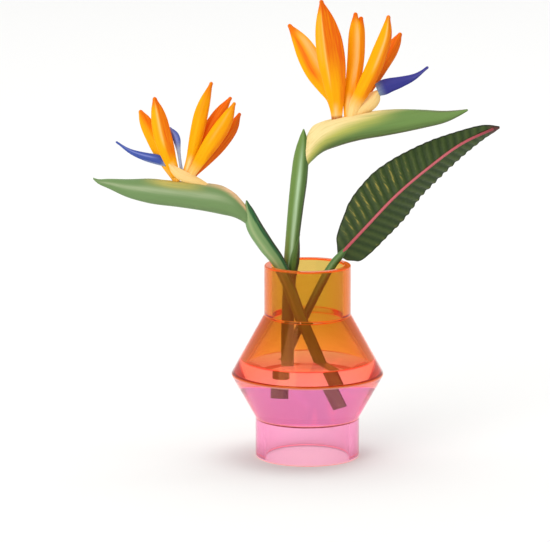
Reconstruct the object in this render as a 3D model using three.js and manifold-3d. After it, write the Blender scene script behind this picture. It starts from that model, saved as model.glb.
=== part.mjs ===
// A miniature bird of paradise arrangement: two blooms and one leaf of moulded plastic, standing in a
// see-through vase with a coloured fill. Millimetres, +Z up. Every size below is measured from the vase's
// own axis: X to the right, Y away from the front, Z up from the surface that the foot stands on.
import * as THREE from 'three';
import { mergeVertices } from 'three/addons/utils/BufferGeometryUtils.js';
import Module from 'manifold-3d';

const wasm = await Module();
wasm.setup();

// ---------------------------------------------------------------- driving dimensions, in millimetres

const CLEARANCE = 0.3; // air between two pieces that stand in or against each other

const VASE_SIDES = 48;
const FOOT_RADIUS = 12.0;
const FOOT_HEIGHT = 9.4;
const RIDGE_RADIUS = 17.55;
const RIDGE_HEIGHT = 19.45;
const NECK_RADIUS = 10.0;
const SHOULDER_HEIGHT = 33.4;
const RIM_HEIGHT = 45.0;
const NECK_WALL = 1.7;
const EDGE = 0.35; // broken edges of the rim and the foot
const RIDGE_NOSE = 0.35; // how high each half of the ridge stands upright before it slopes in
const UPPER_RIDGE_WALL = 3.45; // the upper half's flat joint face, measured across
const LOWER_RIDGE_WALL = 2.65;
const NECK_BORE_END = 30.9; // where the neck's straight bore meets the cone inside
const FLOOR_TOP = 9.2;
const FLOOR_THICKNESS = 1.0;
const FLOOR_RADIUS = 9.45;
const FOOT_RECESS_RADIUS = 9.8;
const FILL_TOP = 22.4;
const FILL_GAP = 0.35; // between the fill and the sloping walls, measured level

const FILL_SHOULDER = 1.3; // how far below the ridge the fill keeps its full width

const STEM_SIDES = 10;
const RINGS_PER_STEM_ROW = 2;
const PETAL_RINGS = 11;
const SPATHE_RINGS = 14;
const CLAW_EASE = 0.8; // how soon a blade swells above its claw: lower is sooner
const CLAW_HALF_DEPTH = 0.62; // the claws are thin, to stand between the lips of a spathe
const CLAW_END = 0.1; // the share of a blade's length where it starts to thicken above its claw
const BELLY_START = 0.4; // and the share where it has its full thickness
const TIP_CROWDING = 1.25; // how much closer a blade's sections stand near its tip
const TIP_HALF_WIDTH = 0.12;
const THICKNESS_EASE = 0.4; // how slowly a blade thins where it narrows
// An eight-sided blade section, sharp at both edges and ridged front and back: shares of the half width
// and of the half thickness.
const BLADE_SECTION = [
  [1, 0], [0.56, 0.62], [0, 1], [-0.56, 0.62], [-1, 0], [-0.56, -0.62], [0, -1], [0.56, -0.62],
];

// Stems: each row is the centre line's x, y, z and the radius there, from the cut end up.
const RIGHT_STEM = [
  [-4.65, 0.9, 18.0, 1.5],
  [-4.65, 1.1, 22.4, 1.5],
  [-4.55, 1.45, 33.5, 1.5],
  [-3.99, 1.6, 44.71, 1.55],
  [-3.42, 1.6, 51.32, 1.62],
  [-2.79, 1.6, 57.53, 1.76],
  [-1.94, 1.5, 65.06, 1.9],
  [-1.44, 1.4, 70.28, 1.65],
  [-1.04, 1.2, 74.02, 0.95],
  [-0.94, 1, 76.35, 0.15],
];
const LEFT_STEM = [
  [5.9, -1.8, 14.0, 1.35],
  [3.1, -1.75, 21.7, 1.35],
  [-1.35, -1.7, 32.4, 1.35],
  [-6.2, -1.6, 45.09, 1.45],
  [-9.35, -1.9, 49.94, 1.58],
  [-11.95, -2.4, 54.4, 1.42],
  [-13.1, -2.6, 57.6, 0.95],
  [-14.05, -2.7, 60.45, 0.15],
];
const LEAF_STALK = [
  [-5.9, 4, 20.5, 0.95],
  [-5.2, 4, 22, 0.95],
  [-0.9, 3.9, 31.5, 0.95],
  [5.75, 3.8, 44.11, 0.95],
  [7.7, 4.1, 46.5, 0.8],
  [9.0, 4.25, 48.1, 0.4],
];

// The low bract that wraps the right stem just above the rim.
const RIGHT_SHEATH = {
  spine: [[-4.0, 1.2, 41.0], [-3.6, 1.0, 45.0], [-2.9, 1.0, 48.5], [-1.9, 1.2, 52.0]],
  width: 3.3, root: 2.4, widest: 0.4, tip: 1.6, thick: 2.6,
};

// Spathes: the beak-like bracts that the flowers rise from. Each row is x and z of the upper lip, x and z
// of the keel below it, the y of the middle plane, and the half depth there.
const RIGHT_SPATHE = [
  [-1.1, 72.6, -0.7, 66.9, 1.6, 1.3],
  [1.0, 76.7, 1.0, 68.8, 1.6, 2.0],
  [3.2, 77.9, 3.5, 70.9, 1.6, 2.3],
  [5.8, 78.6, 7.0, 72.3, 1.5, 2.4],
  [10.5, 79.6, 11.8, 73.7, 1.2, 2.4],
  [16.0, 80.6, 17.2, 74.7, 0.8, 2.3],
  [21.2, 81.0, 22.0, 75.7, 0.2, 2.0],
  [26.0, 81.0, 26.8, 76.9, -0.6, 1.6],
  [30.9, 80.9, 31.4, 78.2, -1.5, 1.1],
  [34.5, 81.2, 34.7, 79.9, -2.2, 0.6],
  [36.4, 81.5, 36.5, 81.1, -2.6, 0.2],
];
const LEFT_SPATHE = [
  [-12.5, 57.3, -12.3, 52.5, -2.6, 1.3],
  [-14.5, 59.6, -14.1, 54.8, -2.8, 1.9],
  [-16.9, 62.2, -16.6, 56.4, -3.0, 2.1],
  [-19.9, 63.9, -20.1, 57.3, -3.2, 2.3],
  [-25.3, 64.6, -24.9, 58.3, -3.6, 2.3],
  [-31.4, 65.2, -30.5, 59.2, -4.2, 2.2],
  [-36.0, 65.7, -35.9, 60.0, -4.8, 1.9],
  [-41.1, 65.7, -41.0, 61.5, -5.4, 1.5],
  [-45.4, 65.9, -45.3, 63.6, -6.0, 0.9],
  [-47.7, 65.9, -47.7, 64.8, -6.4, 0.5],
  [-48.9, 66.3, -48.9, 65.9, -6.6, 0.2],
];
// Half a spathe's cross-section, from the keel to the lip and the slit between the lips: the share of its
// height, and the share of its half depth.
const SPATHE_SECTION = [[0, 0], [0.06, 0.42], [0.28, 0.88], [0.56, 1], [0.82, 0.76], [1, 0.3], [0.93, 0]];

// Sepals and petals: the spine from root to tip, the widest and the root width, where along the spine the
// widest place is, how blunt the tip is (1 is a straight taper, higher is rounder), the thickness, and for
// a blade on a thin stalk how late it swells.
const RIGHT_FLORET_1 = [
  {
    spine: [
      [6.6, 1.6, 77.3], [6.4, 1.9, 80.5], [5.9, 2.3, 83.6], [4.4, 3.0, 86.4],
      [2.0, 3.8, 89.9], [-1.4, 5.2, 96.0], [-4.35, 5.9, 99.9],
    ],
    width: 5.0, root: 1.7, widest: 0.55, tip: 2.0, thick: 2.0,
  },
  {
    spine: [
      [6.7, 1.4, 77.2], [6.5, 0.9, 82.5], [5.9, 0.1, 88.5],
      [5.2, -0.7, 94.5], [4.5, -1.3, 99.5], [3.2, -1.8, 106.4],
    ],
    width: 6.2, root: 2.4, widest: 0.58, tip: 2.1, thick: 2.6,
  },
];
const RIGHT_FLORET_2 = [
  {
    spine: [
      [9.2, 1.5, 77.5], [9.2, 1.9, 81.5], [9.9, 2.4, 86.0],
      [10.6, 2.8, 90.5], [10.9, 3.2, 95.5], [10.9, 3.7, 102.9],
    ],
    width: 3.5, root: 1.6, widest: 0.62, tip: 3.2, thick: 1.9,
  },
  {
    spine: [
      [10.0, 1.6, 77.5], [10.3, 2.1, 82.0], [11.2, 2.8, 87.5],
      [11.8, 3.3, 92.5], [12.0, 3.7, 97.5], [12.2, 4.2, 102.6],
    ],
    width: 2.3, root: 1.5, widest: 0.62, tip: 4.5, thick: 1.9,
  },
  {
    spine: [
      [9.9, 1.2, 77.7], [10.7, 0.5, 81.8], [12.4, -0.4, 85.2], [14.5, -1.1, 89.6],
      [16.3, -1.8, 94.2], [17.7, -2.3, 98.2], [18.5, -2.9, 103.0],
    ],
    width: 3.7, root: 2.2, widest: 0.5, tip: 3.0, thick: 2.2,
  },
  {
    spine: [[10.9, 1.6, 77.6], [12.4, 2.8, 83.2], [15.8, 4.6, 88.8], [19.1, 5.6, 93.8], [21.6, 6.3, 98.5]],
    width: 3.4, root: 1.9, widest: 0.6, tip: 4.0, thick: 1.9,
  },
  {
    spine: [[9.4, 1.6, 77.6], [10.9, 1.6, 79.9], [12.6, 1.5, 81.7], [14.4, 1.4, 83.1], [15.6, 1.4, 84.8]],
    width: 3.0, root: 2.2, widest: 0.45, tip: 5.0, thick: 2.0,
  },
];
const RIGHT_ARROW = {
  spine: [[15.6, 1.5, 84.9], [18.3, 1.4, 86.2], [21.2, 1.1, 87.2], [24.6, 0.7, 88.6], [27.5, 0.3, 90.8]],
  width: 3.6, root: 3.0, widest: 0.14, tip: 1.15, thick: 1.5,
};

const LEFT_FLORET_1 = [
  {
    spine: [
      [-29.6, -3.8, 64.9], [-31.6, -3.3, 68.0], [-33.6, -2.6, 71.5],
      [-35.4, -1.8, 75.0], [-37.1, -1.1, 78.4], [-38.4, -0.7, 81.0],
    ],
    width: 3.3, root: 1.9, widest: 0.55, tip: 3.0, thick: 1.7,
  },
  {
    spine: [
      [-30.2, -4.0, 64.5], [-30.9, -4.3, 67.3], [-31.7, -5.0, 71.2],
      [-32.9, -5.7, 75.7], [-33.9, -6.2, 80.4], [-34.9, -6.5, 84.8],
    ],
    width: 4.2, root: 2.2, widest: 0.5, tip: 2.5, thick: 2.1,
  },
  {
    spine: [
      [-22.4, -3.6, 63.7], [-25.0, -3.7, 65.0], [-27.6, -3.9, 65.8],
      [-29.8, -4.0, 66.8], [-31.4, -4.0, 68.1], [-32.9, -3.9, 69.5],
    ],
    width: 2.3, root: 0.9, widest: 0.62, tip: 3.0, thick: 1.6,
  },
];
const LEFT_FLORET_2 = [
  {
    spine: [
      [-28.0, -3.8, 66.5], [-26.9, -3.8, 69.5], [-26.1, -3.8, 72.5],
      [-25.3, -3.7, 76.8], [-24.4, -3.5, 81.2], [-22.1, -3.0, 87.8],
    ],
    width: 3.4, root: 1.8, widest: 0.58, tip: 1.9, thick: 1.9,
  },
  {
    spine: [
      [-26.6, -3.6, 66.7], [-25.2, -2.6, 71.0], [-22.7, -1.6, 76.2],
      [-20.1, -0.7, 80.3], [-17.5, 0.0, 83.9],
    ],
    width: 3.2, root: 1.8, widest: 0.58, tip: 2.4, thick: 1.7,
  },
  {
    spine: [
      [-26.9, -4.1, 66.2], [-25.0, -4.7, 69.4], [-22.9, -5.3, 72.7],
      [-20.9, -5.8, 75.7], [-18.7, -6.2, 79.3], [-16.6, -6.5, 83.6],
    ],
    width: 3.8, root: 1.9, widest: 0.55, tip: 2.4, thick: 2.0,
  },
  {
    spine: [
      [-26.2, -3.7, 66.6], [-22.8, -3.6, 70.2], [-19.7, -3.2, 73.8],
      [-17.2, -2.8, 77.2], [-15.3, -2.5, 81.0],
    ],
    width: 3.1, root: 1.7, widest: 0.55, tip: 2.7, thick: 1.7,
  },
];
const LEFT_ARROW = {
  spine: [
    [-32.3, -3.6, 69.4], [-34.5, -3.6, 70.0], [-37.3, -3.6, 70.7],
    [-40.5, -3.5, 71.9], [-43.8, -3.4, 74.1],
  ],
  width: 2.3, root: 2.2, widest: 0.2, tip: 1.3, thick: 1.2,
};
const LEFT_SMALL_PETAL = {
  spine: [
    [-28.7, -4.0, 66.8], [-29.2, -4.1, 70.0], [-29.6, -4.2, 73.0],
    [-30.1, -4.2, 75.3], [-31.5, -4.2, 77.5],
  ],
  width: 1.75, root: 0.65, widest: 0.76, tip: 2.2, thick: 0.9, ease: 4.0,
};

// The leaf: x, y, z of its midrib from the stalk to the tip.
const LEAF_MIDRIB = [
  [7.2, 4.0, 46.2], [15.2, 5.0, 54.7], [21.1, 6.2, 60.7], [26.1, 7.0, 64.9],
  [32.3, 7.8, 69.6], [40.7, 8.6, 74.8], [44.4, 8.8, 75.5],
];
// The widths of its upper and its lower half, at shares of the midrib's length.
const LEAF_UPPER_HALF = [
  [0, 0.3], [0.03, 1.85], [0.06, 3.35], [0.12, 4.8], [0.17, 5.75], [0.22, 6.7],
  [0.3, 7.3], [0.38, 7.45], [0.46, 7.05], [0.55, 6.3], [0.7, 4.55], [0.87, 2.05], [1, 0.3],
];
const LEAF_LOWER_HALF = [
  [0, 1.45], [0.03, 3.6], [0.06, 5.2], [0.12, 5.9], [0.22, 6.5], [0.38, 7.4],
  [0.55, 6.35], [0.7, 5.05], [0.78, 4.25], [0.87, 3.5], [0.94, 2.6], [1, 0.3],
];
const LEAF_THICKNESS = 0.7;
const LEAF_PLEATS = 24;
const PLEAT_DEPTH = 0.28;
const SCALLOP_SHARE = 0.35; // the edge swings in and out by this much of the pleats' depth
const PLEAT_RAKE = Math.tan(THREE.MathUtils.degToRad(20)); // pleats run out towards the tip
const PLEAT_START = 0.25; // the share of the half width where the pleats reach their full depth
const MIDRIB_HEIGHT = 0.3;
const LEAF_UPPER_FOLD = THREE.MathUtils.degToRad(13); // how far each half leans back from the front
const LEAF_LOWER_FOLD = [THREE.MathUtils.degToRad(18), THREE.MathUtils.degToRad(45)]; // at the stalk, beyond
const LEAF_FOLD_END = 0.5;
const LEAF_COLUMNS = [-1, -0.66, -0.33, -0.07, 0, 0.07, 0.33, 0.66, 1];

const FRONT = new THREE.Vector3(0, -1, 0);
const TO_THE_RIGHT = 1;
const TO_THE_LEFT = -1;

// ---------------------------------------------------------------- shape functions

/** The curve through a list of points, given as arrays of x, y and z. */
function curveThrough(points) {
  return new THREE.CatmullRomCurve3(points.map((point) => new THREE.Vector3(point[0], point[1], point[2])));
}

/** The value at `share` of a list of [share, value] pairs. */
function valueAt(pairs, share) {
  const last = pairs.length - 1;
  let step = 0;
  while (step < last - 1 && pairs[step + 1][0] < share) step += 1;
  const [from, low] = pairs[step];
  const [to, high] = pairs[step + 1];
  return THREE.MathUtils.lerp(low, high, THREE.MathUtils.clamp((share - from) / (to - from), 0, 1));
}

/** A closed solid over cross-sections: loops of points, alike in number, that turn about the way on. */
function skin(sections) {
  const sides = sections[0].length;
  const points = sections.flat();
  const index = [];
  for (let ring = 0; ring < sections.length - 1; ring += 1) {
    for (let side = 0; side < sides; side += 1) {
      const here = ring * sides + side;
      const next = ring * sides + ((side + 1) % sides);
      index.push(here, next, next + sides, here, next + sides, here + sides);
    }
  }
  const lastRing = (sections.length - 1) * sides;
  const firstCentre = points.length;
  points.push(middleOf(sections[0]), middleOf(sections[sections.length - 1]));
  for (let side = 0; side < sides; side += 1) {
    const next = (side + 1) % sides;
    index.push(firstCentre, next, side);
    index.push(firstCentre + 1, lastRing + side, lastRing + next);
  }
  const geometry = new THREE.BufferGeometry().setFromPoints(points);
  geometry.setIndex(index);
  return geometry;
}

/** The middle of a loop of points. */
function middleOf(loop) {
  const sum = loop.reduce((total, point) => total.add(point), new THREE.Vector3());
  return sum.divideScalar(loop.length);
}

/** The sideways and forward directions of a section that lies across `tangent`. */
function sectionFrame(tangent) {
  const side = new THREE.Vector3().crossVectors(FRONT, tangent).normalize();
  const front = new THREE.Vector3().crossVectors(tangent, side).normalize();
  return { side, front };
}

/** A point of a section, from its centre and its two directions. */
function sectionPoint(centre, frame, across, forward) {
  return centre.clone().addScaledVector(frame.side, across).addScaledVector(frame.front, forward);
}

/** A round stem along rows of x, y, z and radius, `grow` mm fatter and longer all round. */
function stem(rows, grow = 0) {
  const curve = curveThrough(rows);
  const radii = rows.map((row, step) => [step / (rows.length - 1), row[3]]);
  const rings = (rows.length - 1) * RINGS_PER_STEM_ROW;
  const sections = [];
  for (let ring = 0; ring <= rings; ring += 1) {
    const share = ring / rings;
    const radius = valueAt(radii, share) + grow;
    const tangent = curve.getTangent(share);
    const centre = curve.getPoint(share);
    if (ring === 0) centre.addScaledVector(tangent, -grow);
    if (ring === rings) centre.addScaledVector(tangent, grow);
    const frame = sectionFrame(tangent);
    const loop = [];
    for (let side = 0; side < STEM_SIDES; side += 1) {
      const turn = (side / STEM_SIDES) * Math.PI * 2;
      loop.push(sectionPoint(centre, frame, radius * Math.cos(turn), radius * Math.sin(turn)));
    }
    sections.push(loop);
  }
  return skin(sections);
}

/** Half of a blade's width at a share of its length: a narrow claw, a belly and a tapering tip. */
function bladeHalfWidth({ width, root, widest, tip, ease = CLAW_EASE }, share) {
  if (share < widest) {
    const swelling = Math.pow(THREE.MathUtils.smoothstep(share / widest, 0, 1), ease);
    return THREE.MathUtils.lerp(root, width, swelling) / 2;
  }
  return (width / 2) * (1 - Math.pow((share - widest) / (1 - widest), tip));
}

/** Half of a blade's thickness where it is `half` wide each way: thin at the claw and at the tip. */
function bladeHalfDepth({ width, thick }, half, share) {
  const belly = (thick / 2) * Math.pow((half * 2) / width, THICKNESS_EASE);
  const thickening = THREE.MathUtils.smoothstep(share, CLAW_END, BELLY_START);
  return THREE.MathUtils.lerp(Math.min(CLAW_HALF_DEPTH, belly), belly, thickening);
}

/** A keeled petal or sepal, `grow` mm larger all round. */
function petal(blade, grow = 0) {
  const curve = curveThrough(blade.spine);
  const sections = [];
  for (let ring = 0; ring <= PETAL_RINGS; ring += 1) {
    const share = 1 - Math.pow(1 - ring / PETAL_RINGS, TIP_CROWDING);
    const half = Math.max(bladeHalfWidth(blade, share), TIP_HALF_WIDTH);
    const depth = bladeHalfDepth(blade, half, share);
    const tangent = curve.getTangentAt(share);
    const centre = curve.getPointAt(share);
    if (ring === 0) centre.addScaledVector(tangent, -grow);
    if (ring === PETAL_RINGS) centre.addScaledVector(tangent, grow);
    const frame = sectionFrame(tangent);
    sections.push(BLADE_SECTION.map(([across, forward]) => (
      sectionPoint(centre, frame, across * (half + grow), forward * (depth + grow)))));
  }
  return skin(sections);
}

/** A spathe: a beak with a keel below and a slit between two lips above. `way` is the way it points. */
function spathe(rows, way) {
  const lips = curveThrough(rows.map(([x, z, , , y]) => [x, y, z]));
  const keels = curveThrough(rows.map(([, , x, z, y]) => [x, y, z]));
  const depths = rows.map((row, step) => [step / (rows.length - 1), row[5]]);
  const back = SPATHE_SECTION.map(([height, depth]) => [height, depth * way]);
  const front = SPATHE_SECTION.slice(1, -1).reverse().map(([height, depth]) => [height, -depth * way]);
  const sections = [];
  for (let ring = 0; ring <= SPATHE_RINGS; ring += 1) {
    const share = ring / SPATHE_RINGS;
    const lip = lips.getPoint(share);
    const keel = keels.getPoint(share);
    const halfDepth = valueAt(depths, share);
    sections.push([...back, ...front].map(([height, depth]) => (
      keel.clone().lerp(lip, height).add(new THREE.Vector3(0, depth * halfDepth, 0)))));
  }
  return skin(sections);
}

/** A solid of revolution about the vase's axis from radius and height pairs. */
function turned(profile) {
  const points = profile.map(([radius, height]) => new THREE.Vector2(radius, height));
  return new THREE.LatheGeometry(points, VASE_SIDES).rotateX(Math.PI / 2);
}

// ---------------------------------------------------------------- joining and cutting

/** The closed solid that a geometry bounds. */
function solidOf(geometry) {
  const bare = geometry.clone();
  bare.deleteAttribute('normal');
  bare.deleteAttribute('uv');
  const merged = mergeVertices(bare);
  return new wasm.Manifold(new wasm.Mesh({
    numProp: 3,
    vertProperties: new Float32Array(merged.attributes.position.array),
    triVerts: new Uint32Array(merged.index.array),
  }));
}

/** The geometry of a solid. */
function geometryOf(solid) {
  const mesh = solid.getMesh();
  const geometry = new THREE.BufferGeometry();
  geometry.setAttribute('position', new THREE.BufferAttribute(new Float32Array(mesh.vertProperties), 3));
  geometry.setIndex(new THREE.BufferAttribute(new Uint32Array(mesh.triVerts), 1));
  return geometry;
}

/** Several geometries joined into one solid. */
function joined(geometries) {
  return geometries.map(solidOf).reduce((whole, solid) => whole.add(solid));
}

/** A solid with several geometries cut out of it. */
function cut(solid, geometries) {
  return geometries.map(solidOf).reduce((rest, tool) => rest.subtract(tool), solid);
}

// ---------------------------------------------------------------- the pieces

/** The vase's upper half: a straight neck on a cone that opens down to the ridge. */
function vaseUpper() {
  const bore = NECK_RADIUS - NECK_WALL;
  return turned([
    [RIDGE_RADIUS - UPPER_RIDGE_WALL, RIDGE_HEIGHT],
    [RIDGE_RADIUS, RIDGE_HEIGHT],
    [RIDGE_RADIUS, RIDGE_HEIGHT + RIDGE_NOSE],
    [NECK_RADIUS, SHOULDER_HEIGHT],
    [NECK_RADIUS, RIM_HEIGHT - EDGE],
    [NECK_RADIUS - EDGE, RIM_HEIGHT],
    [bore + EDGE, RIM_HEIGHT],
    [bore, RIM_HEIGHT - EDGE],
    [bore, NECK_BORE_END],
    [RIDGE_RADIUS - UPPER_RIDGE_WALL, RIDGE_HEIGHT],
  ]);
}

/** The vase's lower half: a cup that opens up to the ridge, on a straight foot that is hollow below. */
function vaseLower() {
  return turned([
    [0, FLOOR_TOP - FLOOR_THICKNESS],
    [FOOT_RECESS_RADIUS, FLOOR_TOP - FLOOR_THICKNESS],
    [FOOT_RECESS_RADIUS, 0],
    [FOOT_RADIUS - EDGE, 0],
    [FOOT_RADIUS, EDGE],
    [FOOT_RADIUS, FOOT_HEIGHT],
    [RIDGE_RADIUS, RIDGE_HEIGHT - RIDGE_NOSE],
    [RIDGE_RADIUS, RIDGE_HEIGHT],
    [RIDGE_RADIUS - LOWER_RIDGE_WALL, RIDGE_HEIGHT],
    [FLOOR_RADIUS, FLOOR_TOP],
    [0, FLOOR_TOP],
  ]);
}

/** The clear coloured fill that stands in for water, with a plain hole round each stem. */
function fill() {
  const ridgeBore = RIDGE_RADIUS - UPPER_RIDGE_WALL;
  const slope = (ridgeBore - (NECK_RADIUS - NECK_WALL)) / (NECK_BORE_END - RIDGE_HEIGHT);
  const topRadius = ridgeBore - (FILL_TOP - RIDGE_HEIGHT) * slope;
  const body = turned([
    [0, FLOOR_TOP],
    [FLOOR_RADIUS - FILL_GAP, FLOOR_TOP],
    [ridgeBore - FILL_GAP, RIDGE_HEIGHT - FILL_SHOULDER],
    [ridgeBore - FILL_GAP, RIDGE_HEIGHT],
    [topRadius - FILL_GAP, FILL_TOP],
    [0, FILL_TOP],
  ]);
  const stems = [RIGHT_STEM, LEFT_STEM, LEAF_STALK];
  return geometryOf(cut(solidOf(body), stems.map((rows) => stem(rows, CLEARANCE))));
}

/** The leaf blade: two pleated halves that fold back from a raised midrib, with a scalloped edge. */
function leafBlade() {
  const midrib = curveThrough(LEAF_MIDRIB);
  const length = midrib.getLength();
  const stations = LEAF_PLEATS * 2;
  const front = [];
  const back = [];
  for (let station = 0; station <= stations; station += 1) {
    const start = station / stations;
    const pleat = (station % 2 === 0 ? 1 : -1) * PLEAT_DEPTH * Math.sin(Math.PI * start);
    for (const column of LEAF_COLUMNS) {
      const out = Math.abs(column);
      const half = column > 0 ? LEAF_UPPER_HALF : LEAF_LOWER_HALF;
      const share = Math.min(start + (out * valueAt(half, start) * PLEAT_RAKE) / length, 1);
      const frame = sectionFrame(midrib.getTangentAt(share));
      const lowerFold = THREE.MathUtils.lerp(...LEAF_LOWER_FOLD, Math.min(share / LEAF_FOLD_END, 1));
      const fold = column > 0 ? LEAF_UPPER_FOLD : lowerFold;
      const across = column * (valueAt(half, share) + pleat * SCALLOP_SHARE);
      const relief = column === 0 ? MIDRIB_HEIGHT : pleat * Math.min(out / PLEAT_START, 1);
      const centre = midrib.getPointAt(share);
      const lean = across * Math.cos(fold) + Math.sign(column) * relief * Math.sin(fold);
      const forward = relief * Math.cos(fold) - Math.abs(across) * Math.sin(fold);
      front.push(sectionPoint(centre, frame, lean, forward));
      back.push(sectionPoint(centre, frame, lean, forward - LEAF_THICKNESS));
    }
  }
  return plate(front, back, LEAF_COLUMNS.length);
}

/** A closed sheet between two grids of points, split into triangles alike on both faces. */
function plate(front, back, columns) {
  const rows = front.length / columns;
  const behind = front.length;
  const index = [];
  const strip = (a, b) => index.push(a, b, b + behind, a, b + behind, a + behind);
  for (let row = 0; row < rows - 1; row += 1) {
    for (let column = 0; column < columns - 1; column += 1) {
      const a = row * columns + column;
      const [b, c, d] = [a + 1, a + columns, a + columns + 1];
      index.push(a, d, b, a, c, d);
      index.push(a + behind, b + behind, d + behind, a + behind, d + behind, c + behind);
    }
    strip(row * columns + columns, row * columns);
    strip(row * columns + columns - 1, row * columns + 2 * columns - 1);
  }
  for (let column = 0; column < columns - 1; column += 1) {
    strip(column, column + 1);
    strip(front.length - columns + column + 1, front.length - columns + column);
  }
  const geometry = new THREE.BufferGeometry().setFromPoints([...front, ...back]);
  geometry.setIndex(index);
  return geometry;
}

/** One bloom's spathe, seated against its stem, with a pocket for the claw of each blade that it holds. */
function seatedSpathe(rows, way, stemRows, blades) {
  const pockets = blades.map((blade) => petal(blade, CLEARANCE));
  return geometryOf(cut(solidOf(spathe(rows, way)), [stem(stemRows, CLEARANCE), ...pockets]));
}

/** A floret: its blades joined at their claws, clear of the blades of its neighbours. */
function floret(blades, neighbours) {
  const body = joined(blades.map((blade) => petal(blade)));
  return geometryOf(cut(body, neighbours.map((blade) => petal(blade, CLEARANCE))));
}

// ---------------------------------------------------------------- materials

/** A plastic of one colour; `clearness` is how much of what lies behind it shows through. */
function plastic(color, roughness, clearness = 0) {
  return new THREE.MeshStandardMaterial({
    color, roughness, metalness: 0, transparent: clearness > 0, opacity: 1 - clearness,
  });
}

const CLEAR_ORANGE = plastic(0xf58a3a, 0.08, 0.6);
const CLEAR_PINK = plastic(0xf08cac, 0.08, 0.6);
const CLEAR_MAGENTA = plastic(0xe070b0, 0.08, 0.6);
const STEM_GREEN = plastic(0x4c8040, 0.45);
const SPATHE_GREEN = plastic(0x7ba05b, 0.5);
const SEPAL_ORANGE = plastic(0xfb9a1c, 0.5);
const PETAL_BLUE = plastic(0x4448a4, 0.5);
const LEAF_GREEN = plastic(0x35592f, 0.45);

// ---------------------------------------------------------------- the object

const arrangement = new THREE.Group();
arrangement.name = 'bird_of_paradise_in_vase';

/** Adds one named piece to the arrangement. */
function place(name, geometry, material) {
  const mesh = new THREE.Mesh(geometry, material);
  mesh.name = name;
  arrangement.add(mesh);
}

place('vase_upper', vaseUpper(), CLEAR_ORANGE);
place('vase_lower', vaseLower(), CLEAR_PINK);
place('fill', fill(), CLEAR_MAGENTA);

place('right_stem', geometryOf(joined([stem(RIGHT_STEM), petal(RIGHT_SHEATH)])), STEM_GREEN);
const rightBlades = [...RIGHT_FLORET_1, ...RIGHT_FLORET_2];
place('right_spathe', seatedSpathe(RIGHT_SPATHE, TO_THE_RIGHT, RIGHT_STEM, rightBlades), SPATHE_GREEN);
place('right_floret_1', floret(RIGHT_FLORET_1, []), SEPAL_ORANGE);
place('right_floret_2', floret(RIGHT_FLORET_2, [...RIGHT_FLORET_1, RIGHT_ARROW]), SEPAL_ORANGE);
place('right_arrow_petal', petal(RIGHT_ARROW), PETAL_BLUE);

place('left_stem', stem(LEFT_STEM), STEM_GREEN);
const leftBlades = [...LEFT_FLORET_1, ...LEFT_FLORET_2];
place('left_spathe', seatedSpathe(LEFT_SPATHE, TO_THE_LEFT, LEFT_STEM, leftBlades), SPATHE_GREEN);
place('left_floret_1', floret(LEFT_FLORET_1, [LEFT_ARROW, LEFT_SMALL_PETAL]), SEPAL_ORANGE);
place('left_floret_2', floret(LEFT_FLORET_2, [...LEFT_FLORET_1, LEFT_SMALL_PETAL]), SEPAL_ORANGE);
place('left_arrow_petal', petal(LEFT_ARROW), PETAL_BLUE);
place('left_small_petal', petal(LEFT_SMALL_PETAL), PETAL_BLUE);

place('leaf', geometryOf(joined([leafBlade(), stem(LEAF_STALK)])), LEAF_GREEN);

// The arrangement's origin is the middle of its whole box, on the surface that it stands on.
const box = new THREE.Box3().setFromObject(arrangement);
arrangement.position.set(-(box.min.x + box.max.x) / 2, -(box.min.y + box.max.y) / 2, -box.min.z);

export default arrangement;
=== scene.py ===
"""The finish and the fine surface of a miniature bird of paradise arrangement in a see-through vase.

Sizes are in millimetres, measured from the vase's own axis: X to the right, Y away from the front, Z up from
the surface that the foot stands on. `in_frame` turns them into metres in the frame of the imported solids.
"""

import logging
import math
from collections.abc import Sequence
from dataclasses import dataclass, field, replace
from enum import Enum

import bpy
import numpy as np
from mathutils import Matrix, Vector


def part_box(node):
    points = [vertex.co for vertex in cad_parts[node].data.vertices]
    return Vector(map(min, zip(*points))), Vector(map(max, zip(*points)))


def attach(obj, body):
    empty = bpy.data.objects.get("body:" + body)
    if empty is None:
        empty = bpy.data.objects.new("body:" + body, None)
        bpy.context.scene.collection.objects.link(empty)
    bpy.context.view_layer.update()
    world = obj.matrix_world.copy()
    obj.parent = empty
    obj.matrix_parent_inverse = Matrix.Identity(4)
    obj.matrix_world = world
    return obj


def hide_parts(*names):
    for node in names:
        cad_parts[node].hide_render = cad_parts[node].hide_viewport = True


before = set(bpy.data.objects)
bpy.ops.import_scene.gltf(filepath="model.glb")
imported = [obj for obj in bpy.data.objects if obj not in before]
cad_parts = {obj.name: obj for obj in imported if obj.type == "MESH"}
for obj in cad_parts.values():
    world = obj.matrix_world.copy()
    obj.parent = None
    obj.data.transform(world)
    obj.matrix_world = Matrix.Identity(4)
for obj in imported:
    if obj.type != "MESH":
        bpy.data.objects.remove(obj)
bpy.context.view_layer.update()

LOG = logging.getLogger("arrangement")
MM = 0.001
BODY = "root"
FRONT = np.array([0.0, -1.0, 0.0])
GUARD = 0.04  # how near a turned profile's guard points stand to its arcs, in millimetres
ON_AXIS = 1e-6  # a radius under this many millimetres lies on the vase's axis
NOISE_SPAN = {"From Min": 0.3, "From Max": 0.7}  # nearly all of a noise texture's values lie in it

Row = Sequence[float]
Rows = Sequence[Row]


# ------------------------------------------------------------------ places and numbers


def vase_axis() -> float:
    """The X of the vase's axis in the frame, in millimetres."""
    low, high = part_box("vase_lower")
    return (low[0] + high[0]) / 2 / MM


def in_frame(points: np.ndarray) -> np.ndarray:
    """Points in millimetres from the vase's axis, as metres in the frame."""
    return (points + np.array([vase_axis(), 0.0, 0.0])) * MM


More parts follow.
